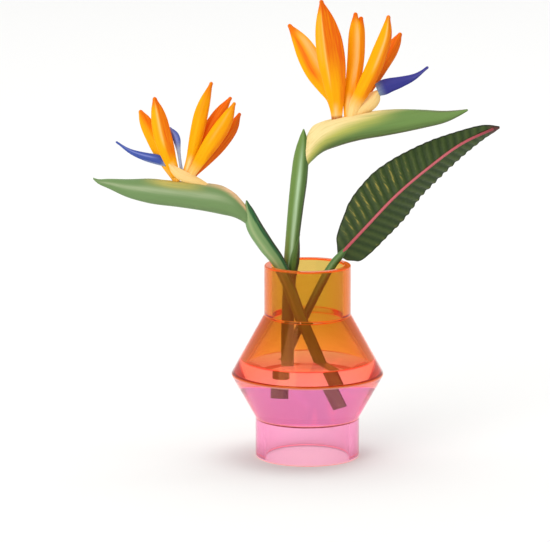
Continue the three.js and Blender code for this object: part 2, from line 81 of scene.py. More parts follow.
def linear(code: str) -> tuple[float, float, float, float]:
    """An sRGB hex colour as linear red, green, blue and alpha."""
    channels = [int(code.lstrip("#")[step:step + 2], 16) / 255 for step in (0, 2, 4)]
    red, green, blue = (c / 12.92 if c <= 0.04045 else ((c + 0.055) / 1.055) ** 2.4 for c in channels)
    return red, green, blue, 1.0


def smooth_step(low: float, high: float, value: np.ndarray) -> np.ndarray:
    """0 below `low`, 1 above `high`, and a soft change between them."""
    share = np.clip((value - low) / (high - low), 0.0, 1.0)
    return share * share * (3 - 2 * share)


def unit(vectors: np.ndarray) -> np.ndarray:
    """The vectors at length 1."""
    return vectors / np.linalg.norm(vectors, axis=-1, keepdims=True)


class Curve:
    """A smooth curve through a few points, which may have any number of coordinates.

    Only the first three count as space. The way through each point is weighted by the square roots of
    the distances to its neighbours, so that the curve makes no loops where points lie close.
    """

    STEPS = 48  # samples between two points

    def __init__(self, rows: Rows) -> None:
        """Samples the curve.

        Args:
            rows: The points that it passes through.
        """
        knots = np.array(rows, float)
        padded = np.vstack([2 * knots[0] - knots[1], knots, 2 * knots[-1] - knots[-2]])
        pieces = [self._piece(padded[step:step + 4]) for step in range(len(knots) - 1)]
        self.samples = np.vstack([*pieces, knots[-1:]])
        steps = np.linalg.norm(np.diff(self.samples[:, :3], axis=0), axis=1)
        self.reach = np.concatenate([[0.0], np.cumsum(steps)])
        self.length = float(self.reach[-1])
        self.slopes = np.gradient(self.samples, axis=0)

    def _piece(self, corners: np.ndarray) -> np.ndarray:
        """The stretch between the middle two of four points."""
        before, start, end, after = corners
        spans = [math.sqrt(float(np.linalg.norm((b - a)[:3]))) for a, b in zip(corners, corners[1:])]
        first, middle, last = spans
        leave = (start - before) / first - (end - before) / (first + middle) + (end - start) / middle
        arrive = (end - start) / middle - (after - start) / (middle + last) + (after - end) / last
        t = np.linspace(0, 1, self.STEPS, endpoint=False)[:, None]
        rise = 3 * t**2 - 2 * t**3
        return (
            start * (1 - rise) + end * rise
            + leave * middle * (t**3 - 2 * t**2 + t) + arrive * middle * (t**3 - t**2)
        )

    def _read(self, table: np.ndarray, shares: np.ndarray, even: bool) -> np.ndarray:
        """Rows of a table at shares of the curve, by length if `even` and by knots if not."""
        along = self.reach / self.length if even else np.linspace(0, 1, len(table))
        return np.stack([np.interp(shares, along, column) for column in table.T], axis=-1)

    def at(self, shares: np.ndarray, even: bool = True) -> np.ndarray:
        """The curve's points at those shares of it."""
        return self._read(self.samples, shares, even)

    def way(self, shares: np.ndarray) -> np.ndarray:
        """The curve's unit direction, in space, at those shares of its length."""
        return unit(self._read(self.slopes[:, :3], shares, even=True))


def cross_ways(tangents: np.ndarray) -> tuple[np.ndarray, np.ndarray]:
    """The sideways and the forward direction of the sections that lie across these tangents."""
    side = unit(np.cross(FRONT, tangents))
    return side, unit(np.cross(tangents, side))


# ------------------------------------------------------------------ meshes


def scene_object(name: str, data: bpy.types.ID) -> bpy.types.Object:
    """A new object in the scene that holds a mesh, a lamp or a camera."""
    thing = bpy.data.objects.new(name, data)
    bpy.context.scene.collection.objects.link(thing)
    return thing


@dataclass
class Surface:
    """A mesh in the making: points in millimetres, faces, and a value or a vector at each point."""

    points: np.ndarray
    faces: list[tuple[int, ...]]
    values: dict[str, np.ndarray] = field(default_factory=dict)
    slots: np.ndarray | None = None  # which of its finishes each face has

    def piece(self, name: str, *materials: bpy.types.Material) -> bpy.types.Object:
        """A Blender object of this surface, in its place in the frame."""
        mesh = bpy.data.meshes.new(name)
        mesh.from_pydata(in_frame(self.points).tolist(), [], self.faces)
        for material in materials:
            mesh.materials.append(material)
        mesh.polygons.foreach_set("use_smooth", [True] * len(mesh.polygons))
        if self.slots is not None:
            mesh.polygons.foreach_set("material_index", self.slots.astype(int).tolist())
        for key, value in self.values.items():
            write_value(mesh, key, value)
        mesh.update()
        return scene_object(name, mesh)


def write_value(mesh: bpy.types.Mesh, key: str, value: np.ndarray) -> None:
    """Stores a number or a vector for each point of a mesh."""
    kind, slot = ("FLOAT_VECTOR", "vector") if value.ndim == 2 else ("FLOAT", "value")
    layer = mesh.attributes.get(key) or mesh.attributes.new(key, kind, "POINT")
    layer.data.foreach_set(slot, value.astype(np.float32).ravel())


def lofted(sections: np.ndarray, values: dict[str, np.ndarray]) -> Surface:
    """A closed surface over rings of points.

    Args:
        sections: Points as (ring, side, coordinate), each ring turning about the way on.
        values: What each point holds, as (ring, side) or (ring, side, coordinate).

    Returns:
        The surface, with a point in the middle of its first and its last ring.
    """
    rings, sides, _ = sections.shape
    ids = np.arange(rings * sides).reshape(rings, sides)
    beside = np.roll(ids, -1, axis=1)
    walls = np.stack([ids[:-1], beside[:-1], beside[1:], ids[1:]], axis=-1).reshape(-1, 4)
    start, end = rings * sides, rings * sides + 1
    caps = [(start, int(b), int(a)) for a, b in zip(ids[0], beside[0])]
    caps += [(end, int(a), int(b)) for a, b in zip(ids[-1], beside[-1])]

    def with_ends(rows: np.ndarray) -> np.ndarray:
        """The rows of every ring, and the means of the first and the last ring."""
        flat = rows.reshape(rings * sides, *rows.shape[2:])
        return np.concatenate([flat, rows[:1].mean(axis=1), rows[-1:].mean(axis=1)])

    faces = [tuple(int(i) for i in quad) for quad in walls] + caps
    return Surface(with_ends(sections), faces, {key: with_ends(value) for key, value in values.items()})


def turned(profile: Rows, segments: int = 144) -> Surface:
    """A solid of revolution about the vase's axis from radius and height pairs."""
    outline = np.array(profile, float)
    count = len(outline)
    angles = np.linspace(0, 2 * math.pi, segments, endpoint=False)
    points: list[np.ndarray] = []
    ids: list[list[int]] = []
    for radius, height in outline:
        if radius < ON_AXIS:
            ids.append([len(points)] * segments)
            points.append(np.array([0.0, 0.0, height]))
        else:
            ids.append(list(range(len(points), len(points) + segments)))
            points += [np.array([radius * math.cos(a), radius * math.sin(a), height]) for a in angles]
    closed = outline[0][0] > ON_AXIS
    faces: list[tuple[int, ...]] = []
    for row in range(count if closed else count - 1):
        here, there = ids[row], ids[(row + 1) % count]
        for step in range(segments):
            ahead = (step + 1) % segments
            corners = (here[step], here[ahead], there[ahead], there[step])
            faces.append(tuple(dict.fromkeys(corners)))
    return Surface(np.array(points), faces)


def rounded(corners: Rows, steps: int = 6) -> list[tuple[float, float]]:
    """A profile with arcs at its corners, and a point close to each end of its straights.

    The close points hold the smooth shading of the arcs off the straights.

    Args:
        corners: Radius, height and the arc's radius there, where 0 leaves a corner on the axis as it is.
        steps: How many chords an arc has.

    Returns:
        The profile's points, as radius and height.
    """
    arcs: list[np.ndarray] = []
    for index, (radius, height, fillet) in enumerate(corners):
        here = np.array([radius, height])
        if fillet <= 0:
            arcs.append(here[None])
            continue
        back = unit(np.array(corners[index - 1][:2]) - here)
        on = unit(np.array(corners[(index + 1) % len(corners)][:2]) - here)
        half = math.acos(float(np.clip(back @ on, -1, 1))) / 2
        centre = here + unit(back + on) * fillet / math.sin(half)
        first = here + back * fillet / math.tan(half) - centre
        last = here + on * fillet / math.tan(half) - centre
        sweep = math.pi - 2 * half
        shares = np.linspace(0, 1, steps + 1)[:, None]
        arms = first * np.sin((1 - shares) * sweep) + last * np.sin(shares * sweep)
        arcs.append(centre + arms / math.sin(sweep))
    outline: list[np.ndarray] = []
    for arc, following in zip(arcs, arcs[1:] + arcs[:1]):
        outline += list(arc)
        straight = following[0] - arc[-1]
        if np.linalg.norm(straight) > 4 * GUARD and max(arc[-1][0], following[0][0]) > 0:
            outline.append(arc[-1] + unit(straight) * GUARD)
            outline.append(following[0] - unit(straight) * GUARD)
    return [(float(radius), float(height)) for radius, height in outline]


# ------------------------------------------------------------------ nodes


def socket_of(sockets: bpy.types.bpy_prop_collection, key: str | int) -> bpy.types.NodeSocket:
    """A node's socket by its place, its identifier or its name."""
    if isinstance(key, int):
        return sockets[key]
    return next((s for s in sockets if s.identifier == key), None) or sockets[key]


def add_node(
    tree: bpy.types.NodeTree,
    kind: str,
    values: dict[str | int, object] | None = None,
    links: dict[str | int, bpy.types.NodeSocket] | None = None,
    **settings: object,
) -> bpy.types.Node:
    """Adds a node with its settings and links.

    Args:
        tree: The tree that gets it.
        kind: Its type's name.
        values: What its open inputs are set to.
        links: What its other inputs are linked to.
        settings: Its own properties.

    Returns:
        The node.
    """
    node = tree.nodes.new(kind)
    for name, value in settings.items():
        setattr(node, name, value)
    for key, value in (values or {}).items():
        socket_of(node.inputs, key).default_value = value
    for key, source in (links or {}).items():
        tree.links.new(source, socket_of(node.inputs, key))
    return node


def blank_material(name: str) -> tuple[bpy.types.Material, bpy.types.NodeTree]:
    """A new material with an empty node tree."""
    material = bpy.data.materials.new(name)
    material.use_nodes = True
    material.node_tree.nodes.clear()
    return material, material.node_tree


def blank_tree(name: str, inputs: dict[str, tuple[str, float]]) -> bpy.types.NodeTree:
    """A geometry tree with a geometry input and output, and named inputs.

    Args:
        name: The tree's name.
        inputs: The socket type and default of each further input.

    Returns:
        The tree, with no nodes yet.
    """
    tree = bpy.data.node_groups.new(name, "GeometryNodeTree")
    tree.interface.new_socket("Geometry", in_out="INPUT", socket_type="NodeSocketGeometry")
    tree.interface.new_socket("Geometry", in_out="OUTPUT", socket_type="NodeSocketGeometry")
    for key, (kind, default) in inputs.items():
        item = tree.interface.new_socket(key, in_out="INPUT", socket_type=kind)
        if kind != "NodeSocketMaterial":
            item.default_value = default
    return tree


def finish_tree(tree: bpy.types.NodeTree, shape: bpy.types.NodeSocket, finish: bpy.types.NodeSocket) -> None:
    """Ends a geometry tree: real points, the piece's finish, and the way out."""
    real = add_node(tree, "GeometryNodeRealizeInstances", links={"Geometry": shape})
    smooth = add_node(tree, "GeometryNodeSetShadeSmooth", links={"Geometry": real.outputs[0]})
    dressed = add_node(
        tree, "GeometryNodeSetMaterial", links={"Geometry": smooth.outputs[0], "Material": finish}
    )
    add_node(tree, "NodeGroupOutput", links={"Geometry": dressed.outputs[0]})


def apply_tree(thing: bpy.types.Object, tree: bpy.types.NodeTree, inputs: dict[str, object]) -> None:
    """Runs a geometry tree on an object and keeps the plain mesh that it makes.

    Args:
        thing: The object.
        tree: The tree.
        inputs: The value of each named input.
    """
    modifier = thing.modifiers.new(tree.name, "NODES")
    modifier.node_group = tree
    for item in tree.interface.items_tree:
        if item.item_type == "SOCKET" and item.in_out == "INPUT" and item.name in inputs:
            modifier[item.identifier] = inputs[item.name]
    graph = bpy.context.evaluated_depsgraph_get()
    mesh = bpy.data.meshes.new_from_object(
        thing.evaluated_get(graph), preserve_all_data_layers=True, depsgraph=graph
    )
    thing.modifiers.remove(modifier)
    mesh.name = thing.name
    thing.data = mesh


def keep(thing: bpy.types.Object, slot: str, *nodes: str) -> None:
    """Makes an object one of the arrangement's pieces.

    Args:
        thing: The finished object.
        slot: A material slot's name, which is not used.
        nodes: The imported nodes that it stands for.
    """
    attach(thing, BODY)
    if nodes:
        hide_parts(*nodes)
    count = len(thing.data.vertices)
    LOG.info("%s: %d points, stands for %s", thing.name, count, ", ".join(nodes) or "none")


# ------------------------------------------------------------------ geometry trees


def brushed_tree() -> bpy.types.NodeTree:
    """Fine lengthwise ridges, as a brush and a mould leave them, on a surface that holds `flow`."""
    tree = blank_tree("Brushed ridges", {
        "Spacing": ("NodeSocketFloat", 0.5),
        "Length": ("NodeSocketFloat", 8.0),
        "Depth": ("NodeSocketFloat", 0.03),
        "Seed": ("NodeSocketFloat", 1.0),
        "Finish": ("NodeSocketMaterial", 0.0),
    })
    given = add_node(tree, "NodeGroupInput").outputs
    flow = add_node(tree, "GeometryNodeInputNamedAttribute", {"Name": "flow"}, data_type="FLOAT_VECTOR")
    grain = add_node(
        tree, "ShaderNodeCombineXYZ", {"Z": 1.0}, {"X": given["Spacing"], "Y": given["Length"]}
    )
    scaled = add_node(
        tree, "ShaderNodeVectorMath", links={0: flow.outputs["Attribute"], 1: grain.outputs[0]},
        operation="DIVIDE",
    )
    noise = add_node(
        tree, "ShaderNodeTexNoise", {"Scale": 1.0, "Detail": 2.0},
        {"Vector": scaled.outputs[0], "W": given["Seed"]}, noise_dimensions="4D",
    )
    centred = add_node(tree, "ShaderNodeMath", {1: 0.5}, {0: noise.outputs[0]}, operation="SUBTRACT")
    height = add_node(
        tree, "ShaderNodeMath", links={0: centred.outputs[0], 1: given["Depth"]}, operation="MULTIPLY"
    )
    metres = add_node(tree, "ShaderNodeMath", {1: 2 * MM}, {0: height.outputs[0]}, operation="MULTIPLY")
    normal = add_node(tree, "GeometryNodeInputNormal")
    lift = add_node(
        tree, "ShaderNodeVectorMath", links={0: normal.outputs[0], "Scale": metres.outputs[0]},
        operation="SCALE",
    )
    moved = add_node(
        tree, "GeometryNodeSetPosition", links={"Geometry": given["Geometry"], "Offset": lift.outputs[0]}
    )
    finish_tree(tree, moved.outputs[0], given["Finish"])
    return tree


def swept_tree() -> bpy.types.NodeTree:
    """A round stem along a path whose points hold `girth`, its radius in metres."""
    tree = blank_tree("Swept stem", {
        "Sides": ("NodeSocketInt", 40),
        "Finish": ("NodeSocketMaterial", 0.0),
    })
    given = add_node(tree, "NodeGroupInput").outputs
    path = add_node(tree, "GeometryNodeMeshToCurve", links={"Mesh": given["Geometry"]})
    girth = add_node(tree, "GeometryNodeInputNamedAttribute", {"Name": "girth"}, data_type="FLOAT")
    ring = add_node(
        tree, "GeometryNodeCurvePrimitiveCircle", {"Radius": 1.0}, {"Resolution": given["Sides"]}
    )
    tube = add_node(
        tree, "GeometryNodeCurveToMesh", {"Fill Caps": True},
        {"Curve": path.outputs[0], "Profile Curve": ring.outputs[0], "Scale": girth.outputs["Attribute"]},
    )
    finish_tree(tree, tube.outputs[0], given["Finish"])
    return tree


def pleated_tree() -> bpy.types.NodeTree:
    """The pleats of a leaf: a wave along `start` that lifts each point by `lift` and pushes it by `push`."""
    tree = blank_tree("Leaf pleats", {
        "Pleats": ("NodeSocketFloat", 24.0),
        "Depth": ("NodeSocketFloat", 0.28),
        "Scallop": ("NodeSocketFloat", 0.35),
        "Wander": ("NodeSocketFloat", 0.3),
        "Seed": ("NodeSocketFloat", 1.0),
        "Finish": ("NodeSocketMaterial", 0.0),
    })
    given = add_node(tree, "NodeGroupInput").outputs
    start, lift, push, spread = (
        add_node(tree, "GeometryNodeInputNamedAttribute", {"Name": name}, data_type=kind).outputs["Attribute"]
        for name, kind in (
            ("start", "FLOAT"), ("lift", "FLOAT_VECTOR"), ("push", "FLOAT_VECTOR"),
            ("spread", "FLOAT_VECTOR"),
        )
    )
    uneven = add_node(
        tree, "ShaderNodeTexNoise", {"Scale": 1.0, "Detail": 1.0}, {"Vector": spread, "W": given["Seed"]},
        noise_dimensions="4D",
    )
    drift = add_node(tree, "ShaderNodeMath", {1: 0.5}, {0: uneven.outputs[0]}, operation="SUBTRACT")
    shift = add_node(
        tree, "ShaderNodeMath", links={0: drift.outputs[0], 1: given["Wander"]}, operation="MULTIPLY"
    )
    count = add_node(
        tree, "ShaderNodeMath", links={0: start, 1: given["Pleats"], 2: shift.outputs[0]},
        operation="MULTIPLY_ADD",
    )
    angle = add_node(tree, "ShaderNodeMath", {1: 2 * math.pi}, {0: count.outputs[0]}, operation="MULTIPLY")
    wave = add_node(tree, "ShaderNodeMath", links={0: angle.outputs[0]}, operation="COSINE")
    held = add_node(
        tree, "GeometryNodeStoreNamedAttribute", {"Name": "wave"},
        {"Geometry": given["Geometry"], "Value": wave.outputs[0]}, data_type="FLOAT", domain="POINT",
    )
    height = add_node(
        tree, "ShaderNodeMath", links={0: wave.outputs[0], 1: given["Depth"]}, operation="MULTIPLY"
    )
    metres = add_node(tree, "ShaderNodeMath", {1: MM}, {0: height.outputs[0]}, operation="MULTIPLY")
    reach = add_node(
        tree, "ShaderNodeMath", links={0: metres.outputs[0], 1: given["Scallop"]}, operation="MULTIPLY"
    )
    up = add_node(
        tree, "ShaderNodeVectorMath", links={0: lift, "Scale": metres.outputs[0]}, operation="SCALE"
    )
    out = add_node(
        tree, "ShaderNodeVectorMath", links={0: push, "Scale": reach.outputs[0]}, operation="SCALE"
    )
    both = add_node(tree, "ShaderNodeVectorMath", links={0: up.outputs[0], 1: out.outputs[0]})
    moved = add_node(
        tree, "GeometryNodeSetPosition", links={"Geometry": held.outputs[0], "Offset": both.outputs[0]}
    )
    finish_tree(tree, moved.outputs[0], given["Finish"])
    return tree


# ------------------------------------------------------------------ paint


class Tone(Enum):
    """The brush tones that lie over a painted piece's body colour, among them painted highlights and painted
    shade.
    """

    # deeper paint, and partly painted shade on the sepals' right sides and the spathes' keel sides
    DEEP = "deep"
    CREAM = "cream"
    # pale paint on a few pieces, and a painted highlight on most
    PALE_AND_HIGHLIGHT = "pale"
    # thin dark lines, and one painted shadow where a claw meets its spathe
    LINE = "line"


def window(start: float, end: float, fade: float, along: np.ndarray) -> np.ndarray:
    """1 between two shares of a piece's length, with soft ends inside them."""
    return smooth_step(start, start + fade, along) * (1 - smooth_step(end - fade, end, along))


@dataclass(frozen=True)
class Wash:
    """A tone that covers one side of a soft line over the piece.

    The line is where `across` times the place across, plus `along` times the place along, plus `offset`
    is 0, and the tone lies where the sum is higher.
    """

    tone: Tone
    across: float
    along: float
    offset: float
    softness: float
    strength: float = 1.0
    start: float = -1.0  # the shares of the length between which it lies at all
    end: float = 2.0
    fade: float = 0.2  # how softly it starts and ends there

    def amount(self, across: np.ndarray, along: np.ndarray) -> np.ndarray:
        """How much of the tone lies at those places."""
        depth = self.across * across + self.along * along + self.offset
        cover = smooth_step(-self.softness, self.softness, depth)
        return self.strength * cover * window(self.start, self.end, self.fade, along)


@dataclass(frozen=True)
class Stroke:
    """A tone in a soft stroke along the piece, at `across` from -1 (left) to 1 (right)."""

    tone: Tone
    across: float
    width: float
    start: float
    end: float
    strength: float = 1.0
    fade: float = 0.3  # the share of the stroke that each soft end takes

    def amount(self, across: np.ndarray, along: np.ndarray) -> np.ndarray:
        """How much of the tone lies at those places."""
        profile = np.exp(-(((across - self.across) / self.width) ** 2))
        fade = self.fade * (self.end - self.start)
        return self.strength * profile * window(self.start, self.end, fade, along)


Paint = tuple[Wash | Stroke, ...]


def painted(paint: Paint, across: np.ndarray, along: np.ndarray) -> dict[str, np.ndarray]:
    """The amount of each tone at each point of a piece.

    Args:
        paint: Its washes and strokes.
        across: Each point's place across the piece, from -1 to 1.
        along: Each point's place along it, from 0 to 1.

    Returns:
        The amounts by the tones' names.
    """
    bare = {tone: np.ones_like(across) for tone in Tone}
    for touch in paint:
        bare[touch.tone] = bare[touch.tone] * (1 - touch.amount(across, along))
    return {tone.value: 1 - rest for tone, rest in bare.items()}


# ------------------------------------------------------------------ finishes


@dataclass(frozen=True)
class ClearPlastic:
    """Clear injection-moulded polystyrene, dyed through: pale where it is thin, deep along its edges, with a
    painted glow.
    """

    name: str
    seen_through: str  # the colour of white light behind `depth` millimetres of it
    depth: float
    stain: str | None = None  # a coat of clear dye, where the mesh holds `stain`
    roughness: float = 0.03
    ior: float = 1.49
    glow: float = 0.0  # painted light: a glow that the plastic gives off though it is no lamp
    glow_colour: str = "#FF5A20"
    painted_glow_at_edges: float = 0.4  # the same painted glow along its edges, stronger there
    painted_glow_at_edges_colour: str = "#FF8826"
    sheen: str = "#FFFFFF"  # what the dye does to reflections from the face

    def joint(self) -> "ClearPlastic":
        """The same plastic where light passes on into the next piece without a bend."""
        return replace(self, name=f"{self.name}_joint", ior=1.0, roughness=0.0, glow=0.0, stain=None)

    def painted_glowing_edge(self) -> "ClearPlastic":
        """The same plastic along an edge, where its painted glow is stronger."""
        return replace(
            self, name=f"{self.name}_lit_edge", glow=self.painted_glow_at_edges, glow_colour=self.painted_glow_at_edges_colour,
        )

    def material(self) -> bpy.types.Material:
        """The finish as a Blender material."""
        material, tree = blank_material(self.name)
        losses = [-math.log(max(c, 1e-4)) / (self.depth * MM) for c in linear(self.seen_through)[:3]]
        density = max(losses)
        shell = add_node(tree, "ShaderNodeBsdfPrincipled", {
            "Base Color": (1.0, 1.0, 1.0, 1.0), "Transmission Weight": 1.0,
            "Roughness": self.roughness, "IOR": self.ior, "Specular Tint": linear(self.sheen),
            "Emission Color": linear(self.glow_colour), "Emission Strength": self.glow,
        })
        if self.stain:
            amount = add_node(tree, "ShaderNodeAttribute", attribute_name="stain")
            coat = add_node(
                tree, "ShaderNodeMix", {"A_Color": linear("#FFFFFF"), "B_Color": linear(self.stain)},
                {"Factor_Float": amount.outputs["Fac"]}, data_type="RGBA",
            )
            tree.links.new(coat.outputs[2], shell.inputs["Base Color"])
        dye = add_node(tree, "ShaderNodeVolumeAbsorption", {
            "Color": (*(1 - loss / density for loss in losses), 1.0), "Density": density,
        })
        add_node(
            tree, "ShaderNodeOutputMaterial", links={"Surface": shell.outputs[0], "Volume": dye.outputs[0]}
        )
        return material


@dataclass(frozen=True)
class BrushedPaint:
    """Moulded vinyl with a satin coat of acrylic paint, brushed lengthwise in a few soft tones, among them
    painted highlights and painted shade.
    """

    name: str
    body: str
    deep: str
    cream: str
    # pale paint, and on most pieces the painted highlight
    pale: str
    line: str
    spacing: float = 0.35  # millimetres between brush streaks, drawn coarser than real ones so that they show
    length: float = 7.0
    streak: float = 0.22  # how far the deep tone shows through the body colour in the streaks
    fray: float = 0.3  # how far the streaks break up the other tones
    roughness: float = 0.46
    uneven: tuple[float, float] = (-0.06, 0.08)  # what the streaks add to the roughness, least and most
    gloss: float = 0.22  # the specular level of thin satin paint
    relief: float = 0.02  # millimetres

    def material(self) -> bpy.types.Material:
        """The finish as a Blender material."""
        material, tree = blank_material(self.name)
        flow = add_node(tree, "ShaderNodeAttribute", attribute_name="flow").outputs["Vector"]
        placed = add_node(
            tree, "ShaderNodeMapping", {"Scale": (1 / self.spacing, 1 / self.length, 1.0)}, {"Vector": flow}
        )
        streaks = add_node(
            tree, "ShaderNodeTexNoise", {"Scale": 1.0, "Detail": 3.0, "Roughness": 0.6},
            {"Vector": placed.outputs[0]},
        )
        thin = add_node(
            tree, "ShaderNodeMapRange", {**NOISE_SPAN, "To Max": self.streak},
            {"Value": streaks.outputs[0]},
        )
        fray = add_node(
            tree, "ShaderNodeMapRange",
            {**NOISE_SPAN, "To Min": 1 - self.fray, "To Max": 1 + self.fray},
            {"Value": streaks.outputs[0]},
        )
        colour = add_node(
            tree, "ShaderNodeMix", {"A_Color": linear(self.body), "B_Color": linear(self.deep)},
            {"Factor_Float": thin.outputs[0]}, data_type="RGBA",
        ).outputs[2]
        for tone, code in (
            (Tone.DEEP, self.deep), (Tone.PALE_AND_HIGHLIGHT, self.pale), (Tone.CREAM, self.cream), (Tone.LINE, self.line),
        ):
            amount = add_node(tree, "ShaderNodeAttribute", attribute_name=tone.value)
            held = add_node(
                tree, "ShaderNodeMath", links={0: amount.outputs["Fac"], 1: fray.outputs[0]},
                operation="MULTIPLY", use_clamp=True,
            )
            colour = add_node(
                tree, "ShaderNodeMix", {"B_Color": linear(code)},
                {"Factor_Float": held.outputs[0], "A_Color": colour}, data_type="RGBA",
            ).outputs[2]
        smoothest, roughest = (self.roughness + change for change in self.uneven)
        gloss = add_node(
            tree, "ShaderNodeMapRange",
            {"From Min": 0.25, "From Max": 0.75, "To Min": smoothest, "To Max": roughest},
            {"Value": streaks.outputs[0]},
        )
        bump = add_node(
            tree, "ShaderNodeBump", {"Strength": 0.6, "Distance": self.relief * MM},
            {"Height": streaks.outputs[0]},
        )
        shell = add_node(
            tree, "ShaderNodeBsdfPrincipled", {"IOR": 1.5, "Specular IOR Level": self.gloss},
            {"Base Color": colour, "Roughness": gloss.outputs[0], "Normal": bump.outputs[0]},
        )
        add_node(tree, "ShaderNodeOutputMaterial", links={"Surface": shell.outputs[0]})
        return material


@dataclass(frozen=True)
class LeafPaint:
    """Moulded vinyl in dark satin green, rimmed in black-green, with painted shade in its pleats' valleys and
    painted olive highlights on their crests.
    """

    name: str
    # valley and ridge: painted shade in the pleats' valleys and painted light on their crests; brush: the
    # olive of the painted highlights
    valley: str
    ridge: str
    brush: str
    rim: str
    tip: str
    blotch: float = 0.625  # millimetres across a blotch of uneven paint
    blotch_share: float = 1.25  # how much the pleats' painted shade and light count beside the blotches
    tones: tuple[float, float] = (0.35, 1.75)  # the sums of both at which it is all valley and all ridge
    crest: float = 9.0  # how narrowly the painted highlights keep to the pleats' crests: higher is narrower
    fibre: tuple[float, float] = (1 / 3, 20 / 7)  # the width and length of the marks that break up the painted highlights and raise the relief, coarse enough to show
    patches: tuple[float, float] = (0.42, 0.6)  # the marks' noise where the painted highlights start and are full
    cover: float = 0.85  # how much of the leaf's colour the painted highlights hide at most
    roughness: float = 0.44
    uneven: tuple[float, float] = (-0.06, 0.1)  # what the blotches add to the roughness, least and most
    gloss: float = 0.2
    relief: float = 0.04  # millimetres

    def material(self) -> bpy.types.Material:
        """The finish as a Blender material."""
        material, tree = blank_material(self.name)

        def reading(name: str) -> bpy.types.NodeSocket:
            """The value that the mesh holds under a name."""
            return add_node(tree, "ShaderNodeAttribute", attribute_name=name).outputs["Fac"]

        spread = add_node(tree, "ShaderNodeAttribute", attribute_name="spread").outputs["Vector"]
        mottle = add_node(
            tree, "ShaderNodeTexNoise", {"Scale": 1 / self.blotch, "Detail": 3.0}, {"Vector": spread}
        )
        # painted shade and light: darker in the pleats' valleys and lighter on their crests, under uneven
        # blotches
        band = add_node(
            tree, "ShaderNodeMapRange", {"From Min": -1.0, "From Max": 1.0}, {"Value": reading("wave")}
        )
        uneven = add_node(
            tree, "ShaderNodeMath", {1: self.blotch_share}, {0: band.outputs[0], 2: mottle.outputs[0]},
            operation="MULTIPLY_ADD",
        )
        tone = add_node(
            tree, "ShaderNodeMapRange", {"From Min": self.tones[0], "From Max": self.tones[1]},
            {"Value": uneven.outputs[0]},
        )
        colour = add_node(
            tree, "ShaderNodeMix", {"A_Color": linear(self.valley), "B_Color": linear(self.ridge)},
            {"Factor_Float": tone.outputs[0]}, data_type="RGBA",
        ).outputs[2]
        # painted highlights: olive on the pleats' crests, where the mesh's brush amount allows
        crest = add_node(
            tree, "ShaderNodeMath", {1: self.crest}, {0: band.outputs[0]}, operation="POWER"
        )
        highlight_on_ridges = add_node(
            tree, "ShaderNodeMath", links={0: crest.outputs[0], 1: reading("brush")}, operation="MULTIPLY"
        )
        width, length = self.fibre
        grain = add_node(
            tree, "ShaderNodeMapping", {"Scale": (1 / width, 1 / length, 1.0)}, {"Vector": spread}
        )
        fibres = add_node(
            tree, "ShaderNodeTexNoise", {"Scale": 1.0, "Detail": 3.0}, {"Vector": grain.outputs[0]}
        )
        patch = add_node(
            tree, "ShaderNodeMapRange",
            {"From Min": self.patches[0], "From Max": self.patches[1], "To Max": self.cover},
            {"Value": fibres.outputs[0]},
        )
        highlight_marks = add_node(
            tree, "ShaderNodeMath", links={0: highlight_on_ridges.outputs[0], 1: patch.outputs[0]}, operation="MULTIPLY",
            use_clamp=True,
        )
        layers = (
            (highlight_marks.outputs[0], self.brush), (reading("tip"), self.tip), (reading("rim"), self.rim),
        )
        for amount, code in layers:
            colour = add_node(
                tree, "ShaderNodeMix", {"B_Color": linear(code)}, {"Factor_Float": amount, "A_Color": colour},
                data_type="RGBA",
            ).outputs[2]
        bump = add_node(
            tree, "ShaderNodeBump", {"Strength": 0.7, "Distance": self.relief * MM},
            {"Height": fibres.outputs[0]},
        )
        smoothest, roughest = (self.roughness + change for change in self.uneven)
        gloss = add_node(
            tree, "ShaderNodeMapRange", {**NOISE_SPAN, "To Min": smoothest, "To Max": roughest},
            {"Value": mottle.outputs[0]},
        )
        shell = add_node(
            tree, "ShaderNodeBsdfPrincipled", {"IOR": 1.5, "Specular IOR Level": self.gloss},
            {"Base Color": colour, "Roughness": gloss.outputs[0], "Normal": bump.outputs[0]},
        )
        add_node(tree, "ShaderNodeOutputMaterial", links={"Surface": shell.outputs[0]})
        return material


@dataclass(frozen=True)
class FloorPaint:
    """Matt white board or paper, which takes soft shadows and shows no gloss."""

    name: str = "matt_white_board"
    colour: str = "#F6F6F5"
    roughness: float = 0.9
    glow: float = 0.0  # painted light: a glow of its own, which real paper doesn't give

    def material(self) -> bpy.types.Material:
        """The finish as a Blender material."""
        material, tree = blank_material(self.name)
        shell = add_node(
            tree, "ShaderNodeBsdfPrincipled", {
                "Base Color": linear(self.colour), "Roughness": self.roughness,
                "Emission Color": linear("#FFFFFF"), "Emission Strength": self.glow,
            },
        )
        add_node(tree, "ShaderNodeOutputMaterial", links={"Surface": shell.outputs[0]})
        return material


# ------------------------------------------------------------------ the vase


